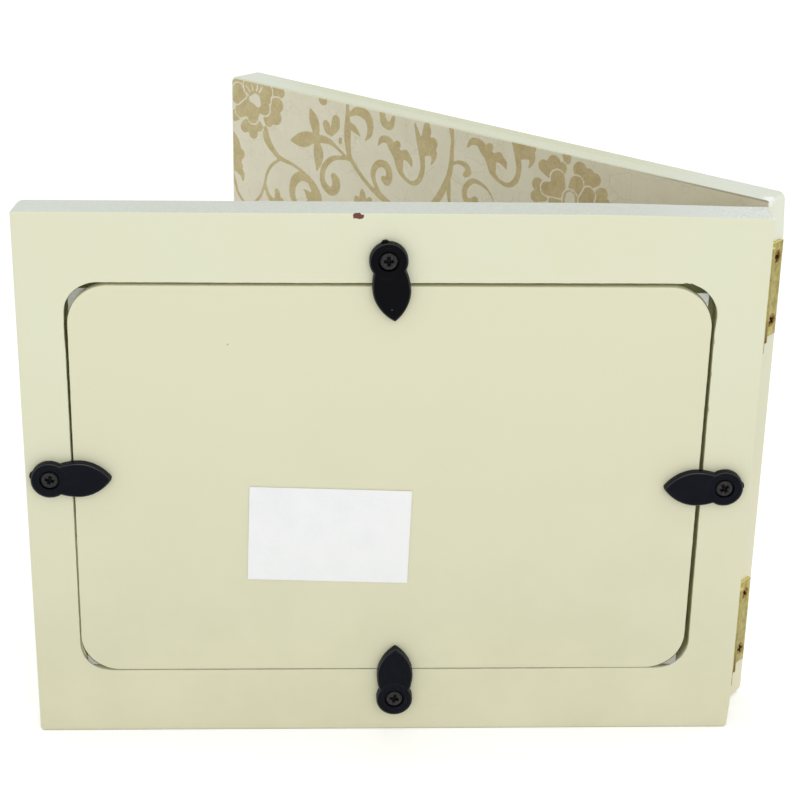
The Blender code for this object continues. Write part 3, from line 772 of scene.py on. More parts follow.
def screw_mesh(name, size, turn, matrix):
    """A cross-head screw: a dome over a rim, or a flat top over a cone where the rim is 0; the cross is
    sunk into fine rings of the head, and the shank tapers to its point."""
    head, shank, dome, rim, reach, half_width, deep = size
    rings = SCREW_RINGS * head
    top = dome * (1 - (rings / head) ** 4)
    under = -rim if rim else -(head - shank)
    profile = list(zip(rings, top))
    profile += [(head, -0.06 * head), (head, under)] if rim else [(head, -0.05 * head)]
    profile += [(shank, under), (shank, under - 0.7 * SCREW_LENGTH), (0.15 * shank, under - SCREW_LENGTH)]
    points = turned(profile, 96)
    spun = placed(points[: len(rings)], Matrix.Rotation(turn, 4, "Z"))
    sunk = np.zeros(points.shape[:2])
    sunk[: len(rings)] = cross_depth(spun, reach, half_width)
    points[..., 2] -= deep * sunk
    mesh = loft(name, placed(points, matrix))
    store(mesh, "sunk", "POINT", sunk)
    return mesh


def pin_mesh(name, height):
    """The hinge pin: a round rod with a domed top, and a slightly thicker head under the lowest knuckle."""
    top = height + HINGE_LENGTH / 2
    bottom = height - HINGE_LENGTH / 2 - 0.1 * MM
    dome = ((0.05, 0.0), (0.3, -0.03), (0.52, -0.14), (0.64, -0.36))
    head = ((0.64, 0.0), (0.9, 0.0), (1.0, -0.1), (1.0, -0.75), (0.85, -1.05), (0.4, -1.2))
    profile = [(r * MM, top + h * MM) for r, h in dome] + [(r * MM, bottom + h * MM) for r, h in head]
    return loft(name, turned(profile) + np.array((AXIS.x, AXIS.y, 0.0)))


def softened_copy(node, width):
    """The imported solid's own surface, merged into one skin, with its edges slightly rounded."""
    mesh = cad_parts[node].data.copy()
    shape = bmesh.new()
    shape.from_mesh(mesh)
    bmesh.ops.remove_doubles(shape, verts=shape.verts, dist=1e-6)
    bmesh.ops.dissolve_limit(shape, angle_limit=math.radians(0.5), verts=shape.verts, edges=shape.edges)
    shape.to_mesh(mesh)
    shape.free()
    bevel = {"width": width, "segments": 2, "limit_method": "ANGLE", "angle_limit": math.radians(40)}
    return with_modifiers(mesh, [("BEVEL", bevel)])


def leaf_sink(reach):
    """How deep a leaf on the frame is let in at a distance from the axis: a straight slope from the
    knuckles on."""
    return LEAF_SINK * np.clip((reach - LEAF_SINK_START) / (LEAF_REACH - LEAF_SINK_START), 0, 1)


def leaf_mesh(node, height, body):
    """A hinge leaf. The lower end of its knuckles, for painted shade, is marked by the distance from the
    axis, its middle by the height and its upper edge, for a painted highlight, by facing up."""
    mesh = softened_copy(node, 0.12 * MM)
    points = vectors(mesh.vertices, "co")
    x, y, z = points.T
    knuckle = 1 - smooth_rise(np.hypot(x - AXIS.x, y - AXIS.y), 1.55 * MM, 1.75 * MM)
    store(mesh, "rolled", "POINT", knuckle * smooth_rise(height - z, 7 * MM, 11 * MM))
    store(mesh, "middle", "POINT", np.clip(1.4 - np.abs(z - height) / (7 * MM), 0, 1))
    # faces that face up, for the painted highlight
    store(mesh, "top_highlight", "FACE", smooth_rise(vectors(mesh.polygons, "normal")[:, 2], 0.4, 0.8))
    if body == "frame":
        points[:, 0] -= leaf_sink(AXIS.y - y)
        mesh.vertices.foreach_set("co", points.ravel())
    return mesh


# Turn buttons

# Place of the screw in millimetres, angle of the tip, of the gate's stub from the tail, and of the cross
BUTTONS = {
    "top": (-1.5, 131.95, -83.5, 5.5, 2.0),
    "left": (-85.3, 73.95, 1.2, -12.0, -14.0),
    "right": (84.55, 71.6, 180.0, 5.0, 32.0),
    "bottom": (1.8, 10.3, 89.9, 4.0, -12.0),
}
BUTTON_THICK = 2.1 * MM
BUTTON_RIM = 0.42 * MM
BUTTON_SPINE = 13.2 * MM  # length of the line towards which points move inwards
BUTTON_TOP_ROWS = 26
GATE_SPREAD = 0.17  # radians along the tail
HEAD_STEP = mm(0.28, 4.75, 0.5)  # depth, radius and width of the slope from the leaf down to the head
HEAD_GROOVE = mm(0.1, 3.5, 0.16)  # depth, radius and half width
BORE_EDGE = 2.64 * MM  # where the flat top ends
# In millimetres: height and gate's stub up the wall, then radius and height down the counterbore and bore
WALL_ROWS = ((0.12, 0.45), (0.8, 0.45), (0.95, 0.3), (1.0, 0.0), (1.3, 0.0))
BORE_ROWS = ((2.54, 1.74), (2.5, 1.6), (2.5, 0.98), (2.42, 0.9), (1.3, 0.9), (1.3, 0.0))
POLISHED_ROW = 10


def button_outline():
    """The leaf swells from the neck to its belly and closes to a blunt tip; its halves mirror each other,
    and the head's arc joins them. The points are spaced evenly."""
    head, neck, waist, belly, half, tip = np.array((4.72, 2.65, 3.9, 7.2, 4.68, 15.4)) * MM
    swell = np.linspace(1, 0, 40, endpoint=False)
    close = np.sin(np.linspace(0, math.pi / 2, 120))
    x = np.concatenate((belly - (belly - neck) * swell, belly + (tip - belly) * close))
    y = np.concatenate((half - (half - waist) * swell**2, half * (1 - close**2) ** 0.85))
    start = math.atan2(waist, neck)
    turn = np.linspace(start, 2 * math.pi - start, 100)
    arc = head * joined(np.cos(turn), np.sin(turn))
    upper = joined(x, y)
    lower = upper * (1, -1)
    return even_loop(np.concatenate((arc, lower, upper[::-1])), 260)


def even_loop(path, count):
    """Points at even distances along a closed path."""
    closed = np.concatenate((path, path[:1]))
    length = np.concatenate(([0], np.cumsum(np.linalg.norm(np.diff(closed, axis=0), axis=1))))
    share = np.arange(count) / count * length[-1]
    return joined(*(np.interp(share, length, closed[:, axis]) for axis in (0, 1)))


def button_mesh(name, x, z, tip, gate):
    """A turn button as one ring of rows: the wall with the gate's stub at the tail, the rounded rim, the
    flat top, the counterbore, the bore and the underside. Points move inwards towards a spine. The head's
    disc lies lower than the leaf and has a groove round it."""
    outline = button_outline()
    spine = joined(np.clip(outline[:, 0], 0, BUTTON_SPINE), 0.0)
    towards = outline - spine
    reach = np.linalg.norm(towards, axis=1)[:, None]
    from_tail = np.arctan2(-outline[:, 1], -outline[:, 0]) - math.radians(gate)
    tail = np.exp(-((from_tail / GATE_SPREAD) ** 4))[:, None]
    rows = []

    def add(inset, height, stub=0.0):
        flat = spine + towards * (1 + (stub * tail - inset) / reach)
        rows.append(joined(*flat.T, height))

    add(0.15 * MM, 0.0, 0.3 * MM)
    for height, stub in WALL_ROWS:
        add(0.0, height * MM, stub * MM)
    inset, depth = quarter_round(BUTTON_RIM, 7)
    for step_in, step_down in zip(inset[::-1], depth[::-1]):
        add(step_in, BUTTON_THICK - step_down)
    inner = rows[-1][:, :2]
    angle = np.arctan2(outline[:, 1], outline[:, 0])
    around = joined(np.cos(angle), np.sin(angle))
    for share in np.linspace(0, 1, BUTTON_TOP_ROWS)[1:]:
        rows.append(joined(*(inner + (BORE_EDGE * around - inner) * share).T, BUTTON_THICK))
    loops = np.array(rows)
    distance = np.hypot(loops[..., 0], loops[..., 1])
    drop, edge, slope = HEAD_STEP
    lower = drop * np.clip((edge - distance) / slope, 0, 1)
    deep, radius, half_width = HEAD_GROOVE
    groove = deep * np.exp(-(((distance - radius) / half_width) ** 2))
    above_wall = loops[..., 2] > 1.5 * MM
    loops[..., 2] -= np.where(above_wall, lower + groove, 0.0)
    bore = [joined(*(radius * MM * around).T, height * MM) for radius, height in BORE_ROWS]
    loops = np.concatenate((loops, np.array(bore)))
    mesh = loft(name, placed(loops, standing(x, BACK - SEAT, z, tip)), ring=True)
    row = np.arange(len(loops))[:, None]
    store(mesh, "rim", "POINT", np.exp(-(((row - POLISHED_ROW) / 1.3) ** 2)) * np.ones(len(outline)))
    return mesh


def standing(x, y, z, turn):
    """A piece drawn flat stood up with its upper side to the back, at millimetres x and z, turned in its
    plane."""
    place = Matrix.Translation((x * MM, y, z * MM))
    return place @ Matrix.Rotation(math.pi / 2, 4, "X") @ Matrix.Rotation(math.radians(turn), 4, "Z")


# Sheets

CARD_THICK = 0.4 * MM
# The card's lower and upper corners, from left to right, and its play in the recess's round corners
CARD_CORNERS = np.array((((-78.1, 20.0), (76.0, 19.5)), ((-79.2, 123.2), (77.35, 122.7)))) * MM
CARD_PLAY = 0.12 * MM
LOWER_LEFT_PLAY = -0.14 * MM
CARD_GRID = (3, 0.15, 9)  # coarse step, fine step and how far from the ends it is used, in millimetres
# Corners that spring up: side, up, rise in millimetres, and which corner of the board it is
CARD_RISES = ((-1, -1, 2.85, 2), (1, -1, 2.95, 3), (1, 1, 0.8, 0))
LABEL = mm(41.0, 26.2, 0.12)  # width, height, thickness
LABEL_PLACE = (-15.5, 57.7, -1.7)  # x and z in millimetres, turn in degrees
# The lining paper in millimetres
PAPER = (181.9, 142.9, 0.32)  # width, height, thickness
PAPER_MARGIN = 0.4  # at the hinge
PAPER_PLAY = 0.03
PAPER_SEEN = 84.0  # height above which it is seen over the frame, and its grid is finer
PAPER_COLUMNS = 361
PAPER_ROWS = (112, 136)  # below and above that height
PAPER_CORNERS = (1.1, 0.4)  # radius at the free end and at the hinge
PAPER_TRIM = 0.42  # slope of the upper edge, from the middle to an end
PAPER_SKEW = math.radians(0.1)


def even_share(length, coarse, fine, ends):
    """Shares from 0 to 1 along a length, with finer steps near both ends."""
    middle = np.linspace(ends, length - ends, int((length - 2 * ends) / coarse))
    start = np.linspace(0, ends, int(ends / fine), endpoint=False)
    return np.concatenate((start, middle, length - start[::-1])) / length


def fit_to_arc(past_x, past_z, edge_x, edge_z, radius):
    """Scale for offsets from a corner's centre, by which a square corner fills a round one: rays that would
    end beyond the arc are shortened to it."""
    share = np.maximum(past_x / edge_x, past_z / edge_z)
    past = np.maximum(np.hypot(past_x, past_z), 1e-9)
    return np.where((past_x > 0) & (past_z > 0), np.minimum(1, radius * share / past), 1.0)


def card_outline(u, v):
    """The card, cut slightly out of square: each point blends the four corners, and a corner that would
    pass the recess's round one is fitted to its arc."""
    (lower_left, lower_right), (upper_left, upper_right) = CARD_CORNERS
    lower = lower_left + (lower_right - lower_left) * u[..., None]
    upper = upper_left + (upper_right - upper_left) * u[..., None]
    x, z = np.moveaxis(lower + (upper - lower) * v[..., None], -1, 0)
    past_x = np.abs(x - RECESS_MIDDLE[0]) - RECESS[0] / 2 + RECESS[2]
    past_z = np.abs(z - RECESS_MIDDLE[1]) - RECESS[1] / 2 + RECESS[2]
    edge_x = np.where(u < 0.5, past_x[:, :1], past_x[:, -1:])
    edge_z = np.where(v < 0.5, past_z[:1], past_z[-1:])
    play = np.where((u < 0.5) & (v < 0.5), LOWER_LEFT_PLAY, CARD_PLAY)
    shift = fit_to_arc(past_x, past_z, edge_x, edge_z, RECESS[2] - play) - 1
    x = x + np.sign(x - RECESS_MIDDLE[0]) * past_x * shift
    z = z + np.sign(z - RECESS_MIDDLE[1]) * past_z * shift
    return x, z


def insert_card():
    """The photo card. It lies flat on the glass, and three corners spring up past the board's round corners
    by a smooth function of the distance outside the board's arc."""
    x, z = card_outline(*np.meshgrid(even_share(156, *CARD_GRID), even_share(102, *CARD_GRID)))
    near = RECESS_FLOOR - 2 * SEAT - GLASS_THICK - CARD_THICK
    lift = np.zeros_like(x)
    for side, up, rise, which in CARD_RISES:
        corner = BOARD_CORNERS[which]
        arc_x = BOARD_MIDDLE[0] + side * (BOARD[0] / 2 - corner) + up * BOARD_LEAN * BOARD[1] / 2
        arc_z = BOARD_MIDDLE[1] + up * (BOARD[1] / 2 - corner)
        outside = np.hypot(np.maximum(0, side * (x - arc_x)), np.maximum(0, up * (z - arc_z))) - corner
        lift += rise * MM * smooth_rise(outside, -0.06 * MM, 0.14 * MM)
    mesh = slab("insert_card", joined(x, near - lift, z), joined(x, near + CARD_THICK - lift, z))
    store(mesh, "sprung", "POINT", (near - vectors(mesh.vertices, "co")[:, 1]) / MM)
    return mesh


def label_sheet():
    """A blank paper label: a thin sheet that follows the board, with one corner lifted by a hair."""
    width, height, thick = LABEL
    x, z = np.meshgrid(np.linspace(-width / 2, width / 2, 60), np.linspace(-height / 2, height / 2, 40))
    corner = np.clip((x / width + z / height - 0.75) / 0.25, 0, 1)
    rise = 0.012 * MM * np.sin(x / (5 * MM)) * np.sin(z / (7 * MM)) + 0.1 * MM * corner**2
    place_x, place_z, turn = LABEL_PLACE
    place = standing(place_x, BACK - SEAT, place_z, turn)
    return slab("label_sheet", placed(joined(x, z, thick + rise), place), placed(joined(x, z, rise), place))


# The paper's ornament: scrolls and flowers in millimetres, p from the cover's free end and z up. Each
# stroke is a row of (p, z, half width) points that a smooth curve runs through.

STROKES = (
    # acanthus at the free edge, and the loop under it
    ((0.8, 126.2, 0.5), (1.6, 123.4, 1.7), (1.8, 119.4, 2.4), (1.9, 116.0, 1.5), (4.1, 114.2, 1.0),
     (4.5, 111.6, 0.12)),
    ((1.8, 120.6, 1.6), (3.6, 120.3, 1.7)),
    ((1.8, 116.9, 1.4), (3.2, 116.4, 1.3)),
    ((0.2, 114.5, 0.5), (1.1, 111.5, 0.5), (2.4, 107.8, 0.5), (5.0, 105.4, 0.5), (8.0, 105.4, 0.5),
     (10.2, 107.0, 0.5), (12.2, 109.6, 0.45), (13.6, 113.3, 0.45), (14.4, 116.2, 0.5), (16.4, 119.3, 0.5),
     (19.5, 121.6, 0.45)),
    ((13.6, 113.3, 0.3), (14.6, 110.3, 0.7), (16.4, 108.4, 0.9), (18.6, 107.6, 1.2)),
    ((18.6, 108.0, 1.3), (18.7, 110.6, 1.1), (18.4, 111.6, 0.9)),
    ((18.6, 107.6, 1.2), (20.2, 109.0, 1.0)),
    # stem under the first flower, running into a hooked leaf
    ((13.7, 129.8, 1.1), (14.7, 126.7, 1.3), (17.0, 124.1, 0.95), (19.7, 122.2, 0.75), (25.5, 121.0, 0.5),
     (29.5, 119.2, 0.65), (32.6, 116.6, 1.3), (34.6, 113.2, 1.7), (35.4, 109.0, 1.4), (34.6, 104.6, 0.9)),
    ((31.0, 118.0, 1.2), (28.5, 118.3, 1.4), (26.0, 117.0, 1.5), (24.7, 114.0, 1.2), (25.1, 110.8, 1.1),
     (27.4, 108.2, 0.8)),
    ((33.6, 111.4, 1.8), (31.6, 112.8, 1.4), (29.7, 114.2, 0.35), (28.4, 114.2, 0.1)),
    ((33.6, 109.0, 2.0), (31.4, 109.6, 1.9), (30.6, 107.4, 1.3)),
    # sprig of four leaves
    ((34.1, 131.4, 0.8), (33.9, 133.8, 1.5), (33.1, 136.5, 1.7), (31.6, 139.9, 0.1)),
    ((33.8, 130.8, 0.8), (31.6, 130.6, 1.9), (28.9, 129.6, 2.3), (26.0, 128.9, 1.2), (24.0, 128.5, 0.1)),
    ((34.2, 130.2, 0.8), (34.9, 127.4, 1.8), (35.0, 125.0, 1.6), (34.4, 121.0, 0.1)),
    ((34.1, 130.8, 0.8), (36.3, 131.2, 1.2), (39.2, 131.0, 0.9), (42.1, 129.7, 0.5), (45.0, 128.0, 0.42),
     (46.9, 126.9, 0.4)),
    # heart-shaped bud and its drop
    ((37.9, 135.9, 1.3), (38.6, 134.4, 1.2), (39.8, 133.0, 0.3)),
    ((41.7, 138.0, 1.4), (41.4, 136.0, 1.6), (39.9, 133.0, 0.4)),
    ((43.4, 132.5, 0.6), (43.4, 131.7, 0.7)),
    # main stem with a hooked scroll, and two spirals
    ((46.0, 143.2, 0.5), (46.1, 139.3, 0.9), (46.1, 135.7, 1.25), (46.2, 132.0, 1.15), (46.9, 128.4, 0.85),
     (48.8, 125.8, 0.75), (52.7, 122.1, 0.65), (57.4, 119.0, 0.75), (62.1, 117.0, 1.0), (67.0, 113.5, 0.9),
     (70.0, 108.5, 0.8)),
    ((46.8, 140.4, 0.5), (49.6, 142.0, 1.25), (52.9, 141.5, 1.55), (54.5, 139.1, 1.25), (54.3, 136.1, 0.9),
     (52.7, 133.8, 0.15)),
    ((47.3, 137.4, 0.85), (48.7, 136.5, 1.0), (51.1, 134.7, 0.12)),
    ((46.4, 127.2, 0.45), (43.6, 127.0, 0.6), (40.2, 126.0, 0.8), (37.3, 123.1, 0.95), (36.5, 119.9, 0.95),
     (37.3, 117.5, 1.1), (39.7, 116.1, 1.3), (41.7, 117.3, 1.5), (41.8, 119.6, 1.5), (40.9, 120.8, 1.1)),
    ((60.7, 118.2, 0.5), (58.3, 119.6, 0.6), (56.4, 122.5, 0.75), (55.9, 125.4, 0.95), (57.7, 128.0, 1.05),
     (60.5, 128.2, 1.15), (61.9, 125.9, 1.15), (61.1, 123.4, 1.2), (59.7, 124.0, 0.9)),
    # tips of leaves from the next row
    ((50.0, 113.6, 1.0), (49.8, 116.0, 0.9)),
    ((52.2, 114.6, 1.6), (52.0, 117.9, 1.0), (51.7, 119.3, 0.15)),
    ((54.4, 113.6, 1.2), (54.7, 116.5, 1.0)),
    ((58.9, 143.0, 1.0), (59.8, 140.5, 1.3), (62.0, 140.0, 1.1), (63.1, 142.6, 0.6)),
    ((36.5, 143.4, 1.6), (36.7, 143.0, 1.6)),
    # forked stem with a curl and a spiral
    ((83.7, 143.2, 0.8), (84.2, 140.0, 0.62), (84.1, 137.2, 0.62), (84.0, 133.9, 0.8), (83.3, 129.9, 0.88),
     (81.8, 126.3, 1.0), (80.0, 123.0, 1.1), (77.0, 119.0, 1.0), (73.0, 113.5, 0.9), (70.5, 108.0, 0.8)),
    ((83.3, 129.5, 0.5), (83.3, 126.0, 0.72), (83.7, 122.4, 0.5), (85.5, 117.5, 0.5), (89.5, 114.3, 0.5),
     (95.0, 115.0, 0.4)),
    ((84.2, 133.3, 0.35), (86.4, 134.2, 0.55), (89.0, 133.8, 0.85), (90.0, 132.2, 1.0),
     (89.0, 131.2, 0.85)),
    ((95.0, 115.0, 0.35), (98.4, 119.5, 0.3), (99.2, 124.4, 0.25), (97.5, 127.8, 0.32), (94.8, 129.5, 0.5),
     (91.8, 130.0, 0.7), (89.3, 127.9, 0.87), (88.9, 125.2, 0.87), (90.4, 123.6, 1.0),
     (92.6, 124.6, 1.15)),
)

ACANTHUS = (  # about its lowest point
    ((-13.1, 8.5, 0.2), (-11.7, 10.6, 0.9), (-9.4, 10.7, 1.15), (-8.0, 9.2, 1.45), (-5.9, 7.1, 1.8),
     (-5.2, 4.3, 1.4), (-4.7, 2.5, 0.9), (-2.8, 0.7, 0.57), (0.0, 0.0, 0.65), (2.2, 1.7, 0.85),
     (3.2, 5.2, 0.82), (2.7, 9.4, 1.0), (1.5, 13.5, 0.9), (0.1, 17.5, 0.3)),
    ((-7.0, 8.6, 1.2), (-6.0, 10.2, 1.15)),
    ((-5.0, 7.0, 1.3), (-3.0, 7.9, 1.35)),
    ((-3.6, 7.6, 1.0), (-1.6, 6.6, 1.0), (-0.6, 4.5, 0.1)),
    ((3.2, 12.6, 1.0), (4.4, 15.6, 1.5), (4.4, 17.3, 1.2)),
    ((4.0, 11.8, 1.3), (6.6, 12.9, 1.75)),
    ((3.6, 9.8, 1.0), (6.6, 10.6, 1.35), (7.0, 8.6, 0.7), (6.1, 6.5, 0.12)),
)
# The place of that point, and how much the leaf is stretched along p and z
ACANTHUS_PLACES = ((70.7, 124.9, 1.0, 1.0), (103.5, 131.2, 1.08, 0.92))

# Flowers, in millimetres about the heart. Each petal is a root and its lobes, all (p, z, radius), and the
# petals come in the order in which they are laid over each other. Then the pale heart and the pale stamens.
FLOWERS = (
    (
        (9.7, 138.2),
        (
            ((-5.0, 4.0, 1.5), (-8.2, 4.8, 1.8)),
            ((5.0, 3.5, 2.4), (8.2, 5.2, 1.9), (10.4, 4.0, 1.6)),
            ((5.0, -2.0, 2.6), (9.1, 0.0, 2.3), (8.2, -3.8, 2.5), (5.6, -5.4, 1.9)),
            ((-1.0, -6.3, 2.4), (-4.2, -9.2, 1.7), (-0.7, -10.4, 1.8), (1.7, -8.0, 1.5)),
            ((-5.0, -4.5, 2.0), (-8.4, -6.4, 1.7)),
            ((0.0, -0.8, 3.0), (-5.8, -4.2, 2.2), (-3.2, -3.6, 2.1), (-0.9, -5.2, 2.2), (3.8, -1.9, 2.2),
             (4.5, 0.9, 1.9), (4.9, 3.4, 2.2), (1.4, 4.6, 2.2), (-2.2, 4.4, 2.2)),
            ((-4.4, 0.7, 0.9), (-6.6, 1.8, 2.3), (-7.4, -0.5, 2.0)),
        ),
        ((-1.4, 0.0, 1.0), (0.4, 0.2, 1.8), (1.2, -0.8, 1.3)),
        (((-4.6, 2.2), (-2.6, 1.0)), ((-3.5, 3.8), (-1.9, 2.2)), ((-1.3, 4.8), (-0.7, 2.7)),
         ((1.2, 4.8), (0.7, 2.8)), ((3.0, 4.5), (1.9, 2.6))),
    ),
    (
        (123.9, 132.4),
        (
            ((-1.6, 10.6, 1.4), (-1.4, 9.6, 1.2)),
            ((-4.5, 4.6, 2.2), (-8.8, 6.5, 1.8), (-5.6, 8.0, 2.1), (-3.0, 7.1, 1.6)),
            ((4.0, 4.6, 2.2), (2.8, 7.7, 2.2), (5.7, 7.0, 1.7), (7.7, 6.0, 1.8)),
            ((-7.6, -0.6, 2.2), (-10.5, 1.1, 1.9), (-11.0, -2.3, 1.7)),
            ((8.0, 0.6, 2.2), (10.2, 2.7, 1.7), (11.4, 0.2, 1.5), (10.6, -2.4, 1.5)),
            ((-3.0, -5.5, 2.2), (-7.0, -6.8, 2.2), (-4.0, -9.2, 2.2), (-0.4, -9.8, 2.0)),
            ((4.0, -5.0, 2.2), (3.4, -9.2, 2.1), (6.6, -7.6, 2.1), (9.0, -4.8, 1.9)),
            ((0.0, -3.0, 2.4), (-5.1, -2.4, 1.7), (-3.2, -5.2, 2.0), (0.6, -6.0, 2.0), (4.2, -4.4, 2.0)),
            ((3.0, 0.4, 1.8), (5.8, 1.5, 2.1), (6.2, -1.4, 1.9)),
            ((-3.4, 0.8, 2.0), (-7.5, 0.6, 1.9), (-4.1, 3.9, 2.3)),
            ((1.0, 1.4, 1.8), (1.9, 3.7, 2.2)),
            ((0.1, -0.5, 2.2), (0.1, -1.2, 2.3)),
        ),
        ((0.1, -0.2, 1.45), (0.1, -1.4, 1.6)),
        (),
    ),
)
# The whole spray again lower down, half a repeat aside in every second row
SPRAY_PLACES = ((0, 0), (58, -41), (-79, -41), (0, -82), (137, -82), (58, -123), (-79, -123))


def smooth_curve(points, spans=9):
    """A Catmull-Rom curve through a row of points: each span blends its two ends and their neighbours by
    cubic weights."""
    points = np.array(points, float)
    padded = np.concatenate((2 * points[:1] - points[1:2], points, 2 * points[-1:] - points[-2:-1]))
    share = np.linspace(0, 1, spans, endpoint=False)[None, :, None]
    a, b, c, d = (padded[first : len(padded) - 3 + first, None] for first in range(4))
    square = 2 * a - 5 * b + 4 * c - d
    cube = 3 * b - a - 3 * c + d
    curve = 0.5 * (2 * b + (c - a) * share + square * share**2 + cube * share**3)
    return np.concatenate((curve.reshape(-1, points.shape[1]), points[-1:]))


class Inking:
    """A drawing on a grid of the sheet: at each point, how many millimetres it lies inside the ink."""

    FAR = 2.5
    PALE_LINE = 0.5

    def __init__(self, across, up):
        self.across = across
        self.up = up
        self.depth = np.full((len(up), len(across)), -self.FAR)

    def window(self, shapes):
        """The part of the drawing that shapes can touch, and how far inside any of them its points lie."""
        points = np.concatenate(shapes)
        low = (points[:, :2] - points[:, 2:]).min(0) - self.FAR
        high = (points[:, :2] + points[:, 2:]).max(0) + self.FAR
        rows = slice(*np.searchsorted(self.up, (low[1], high[1])))
        columns = slice(*np.searchsorted(self.across, (low[0], high[0])))
        p, z = np.meshgrid(self.across[columns], self.up[rows])
        return self.depth[rows, columns], np.max([self.inside(each, p, z) for each in shapes], axis=0)

    def inside(self, points, p, z):
        """How far inside a tapering stroke each point lies: over the stroke's segments, the greatest of the
        half width at the nearest place on the segment less the distance to it."""
        best = np.full(p.shape, -self.FAR)
        for start, end in zip(points, points[1:]):
            run = end - start
            square = max(run[0] ** 2 + run[1] ** 2, 1e-9)
            share = np.clip(((p - start[0]) * run[0] + (z - start[1]) * run[1]) / square, 0, 1)
            gap = np.hypot(p - start[0] - run[0] * share, z - start[1] - run[1] * share)
            np.maximum(best, start[2] + run[2] * share - gap, out=best)
        return best

    def stroke(self, points):
        """Adds a stroke to the ink."""
        block, inside = self.window([points])
        np.maximum(block, inside, out=block)

    def petal(self, shapes):
        """Lays shapes, joined into one petal, over what is drawn, with a pale line round them."""
        block, inside = self.window(shapes)
        block[...] = np.maximum(np.minimum(block, -(inside + self.PALE_LINE)), inside)

    def wipe(self, points):
        """Takes a stroke out of the ink."""
        block, inside = self.window([points])
        np.minimum(block, -inside, out=block)


def draw_flower(inking, flower, shift):
    """A flower: each petal joins tapering strokes from its root to its lobes; then the pale heart and
    stamens are wiped out of the ink."""
    (p, z), petals, heart, stamens = flower
    middle = np.array((p + shift[0], z + shift[1], 0.0))
    for root, *lobes in petals:
        inking.petal([middle + np.array((root, lobe)) for lobe in lobes])
    inking.wipe(middle + np.array(heart))
    for outer, inner in stamens:
        inking.wipe(middle + np.array(((*outer, 0.24), (*inner, 0.3))))


def draw_spray(inking, shift):
    """All strokes, both acanthus leaves and both flowers, shifted by millimetres across and up."""
    offset = np.array((*shift, 0.0))
    for stroke in STROKES:
        inking.stroke(smooth_curve(np.array(stroke) + offset))
    for p, z, wide, high in ACANTHUS_PLACES:
        for stroke in ACANTHUS:
            inking.stroke(smooth_curve(np.array(stroke) * (wide, high, 1.0) + offset + (p, z, 0.0)))
    for flower in FLOWERS:
        draw_flower(inking, flower, shift)


def paper_outline(p, z):
    """A square grid about the paper's middle, in millimetres, fitted to its round corners, with its upper
    edge trimmed on a slight slope and the whole a hair askew."""
    width, height, _ = PAPER
    corner = np.where(p < 0, *PAPER_CORNERS)
    past_p = np.abs(p) - width / 2 + corner
    past_z = np.abs(z) - height / 2 + corner
    shift = fit_to_arc(past_p, past_z, corner, corner, corner) - 1
    p, z = p + np.sign(p) * past_p * shift, z + np.sign(z) * past_z * shift
    z += PAPER_TRIM * p / (width / 2) * (z / height + 0.5) ** 12
    across, along = math.cos(PAPER_SKEW), math.sin(PAPER_SKEW)
    return p * across + z * along, z * across - p * along


def lining_sheet():
    """The printed paper on the cover's inner face: a grid, finer where the print is seen, whose points
    carry the ink's depth, with a thin edge and a plain back."""
    width, height, thick = PAPER
    across = np.linspace(0, width, PAPER_COLUMNS)
    below = np.linspace(0, PAPER_SEEN, PAPER_ROWS[0], endpoint=False)
    up = np.concatenate((below, np.linspace(PAPER_SEEN, height, PAPER_ROWS[1])))
    margin_p = PANEL_WIDTH / MM - width - PAPER_MARGIN
    margin_z = (PANEL_HEIGHT / MM - height) / 2
    inking = Inking(across + margin_p, up + margin_z)
    for shift in SPRAY_PLACES:
        draw_spray(inking, shift)
    p, z = paper_outline(*np.meshgrid(across - width / 2, up - height / 2))
    middle = -AXIS_OUT - PANEL_WIDTH + (margin_p + width / 2) * MM
    near = AXIS_AHEAD - (PAPER_PLAY + thick) * MM
    sheet = joined(middle + p * MM, near, PANEL_HEIGHT / 2 + z * MM).reshape(-1, 3)
    rows, columns = p.shape
    index = np.arange(rows * columns).reshape(rows, columns)
    rim = np.concatenate((index[0, :-1], index[:-1, -1], index[-1, :0:-1], index[:0:-1, 0]))
    behind = sheet[rim] + (0.0, thick * MM, 0.0)
    first = rows * columns + np.arange(len(rim))
    wall = joined(rim, first, np.roll(first, -1), np.roll(rim, -1))
    faces = grid_quads(rows, columns, wrap_columns=False) + wall.tolist() + [first[::-1].tolist()]
    mesh = add_mesh("lining_sheet", np.concatenate((sheet, behind)), faces)
    depth = inking.depth.ravel()
    store(mesh, "ink", "POINT", np.concatenate((depth, depth[rim])))
    mesh.transform(OPENED)
    return mesh


# Pieces


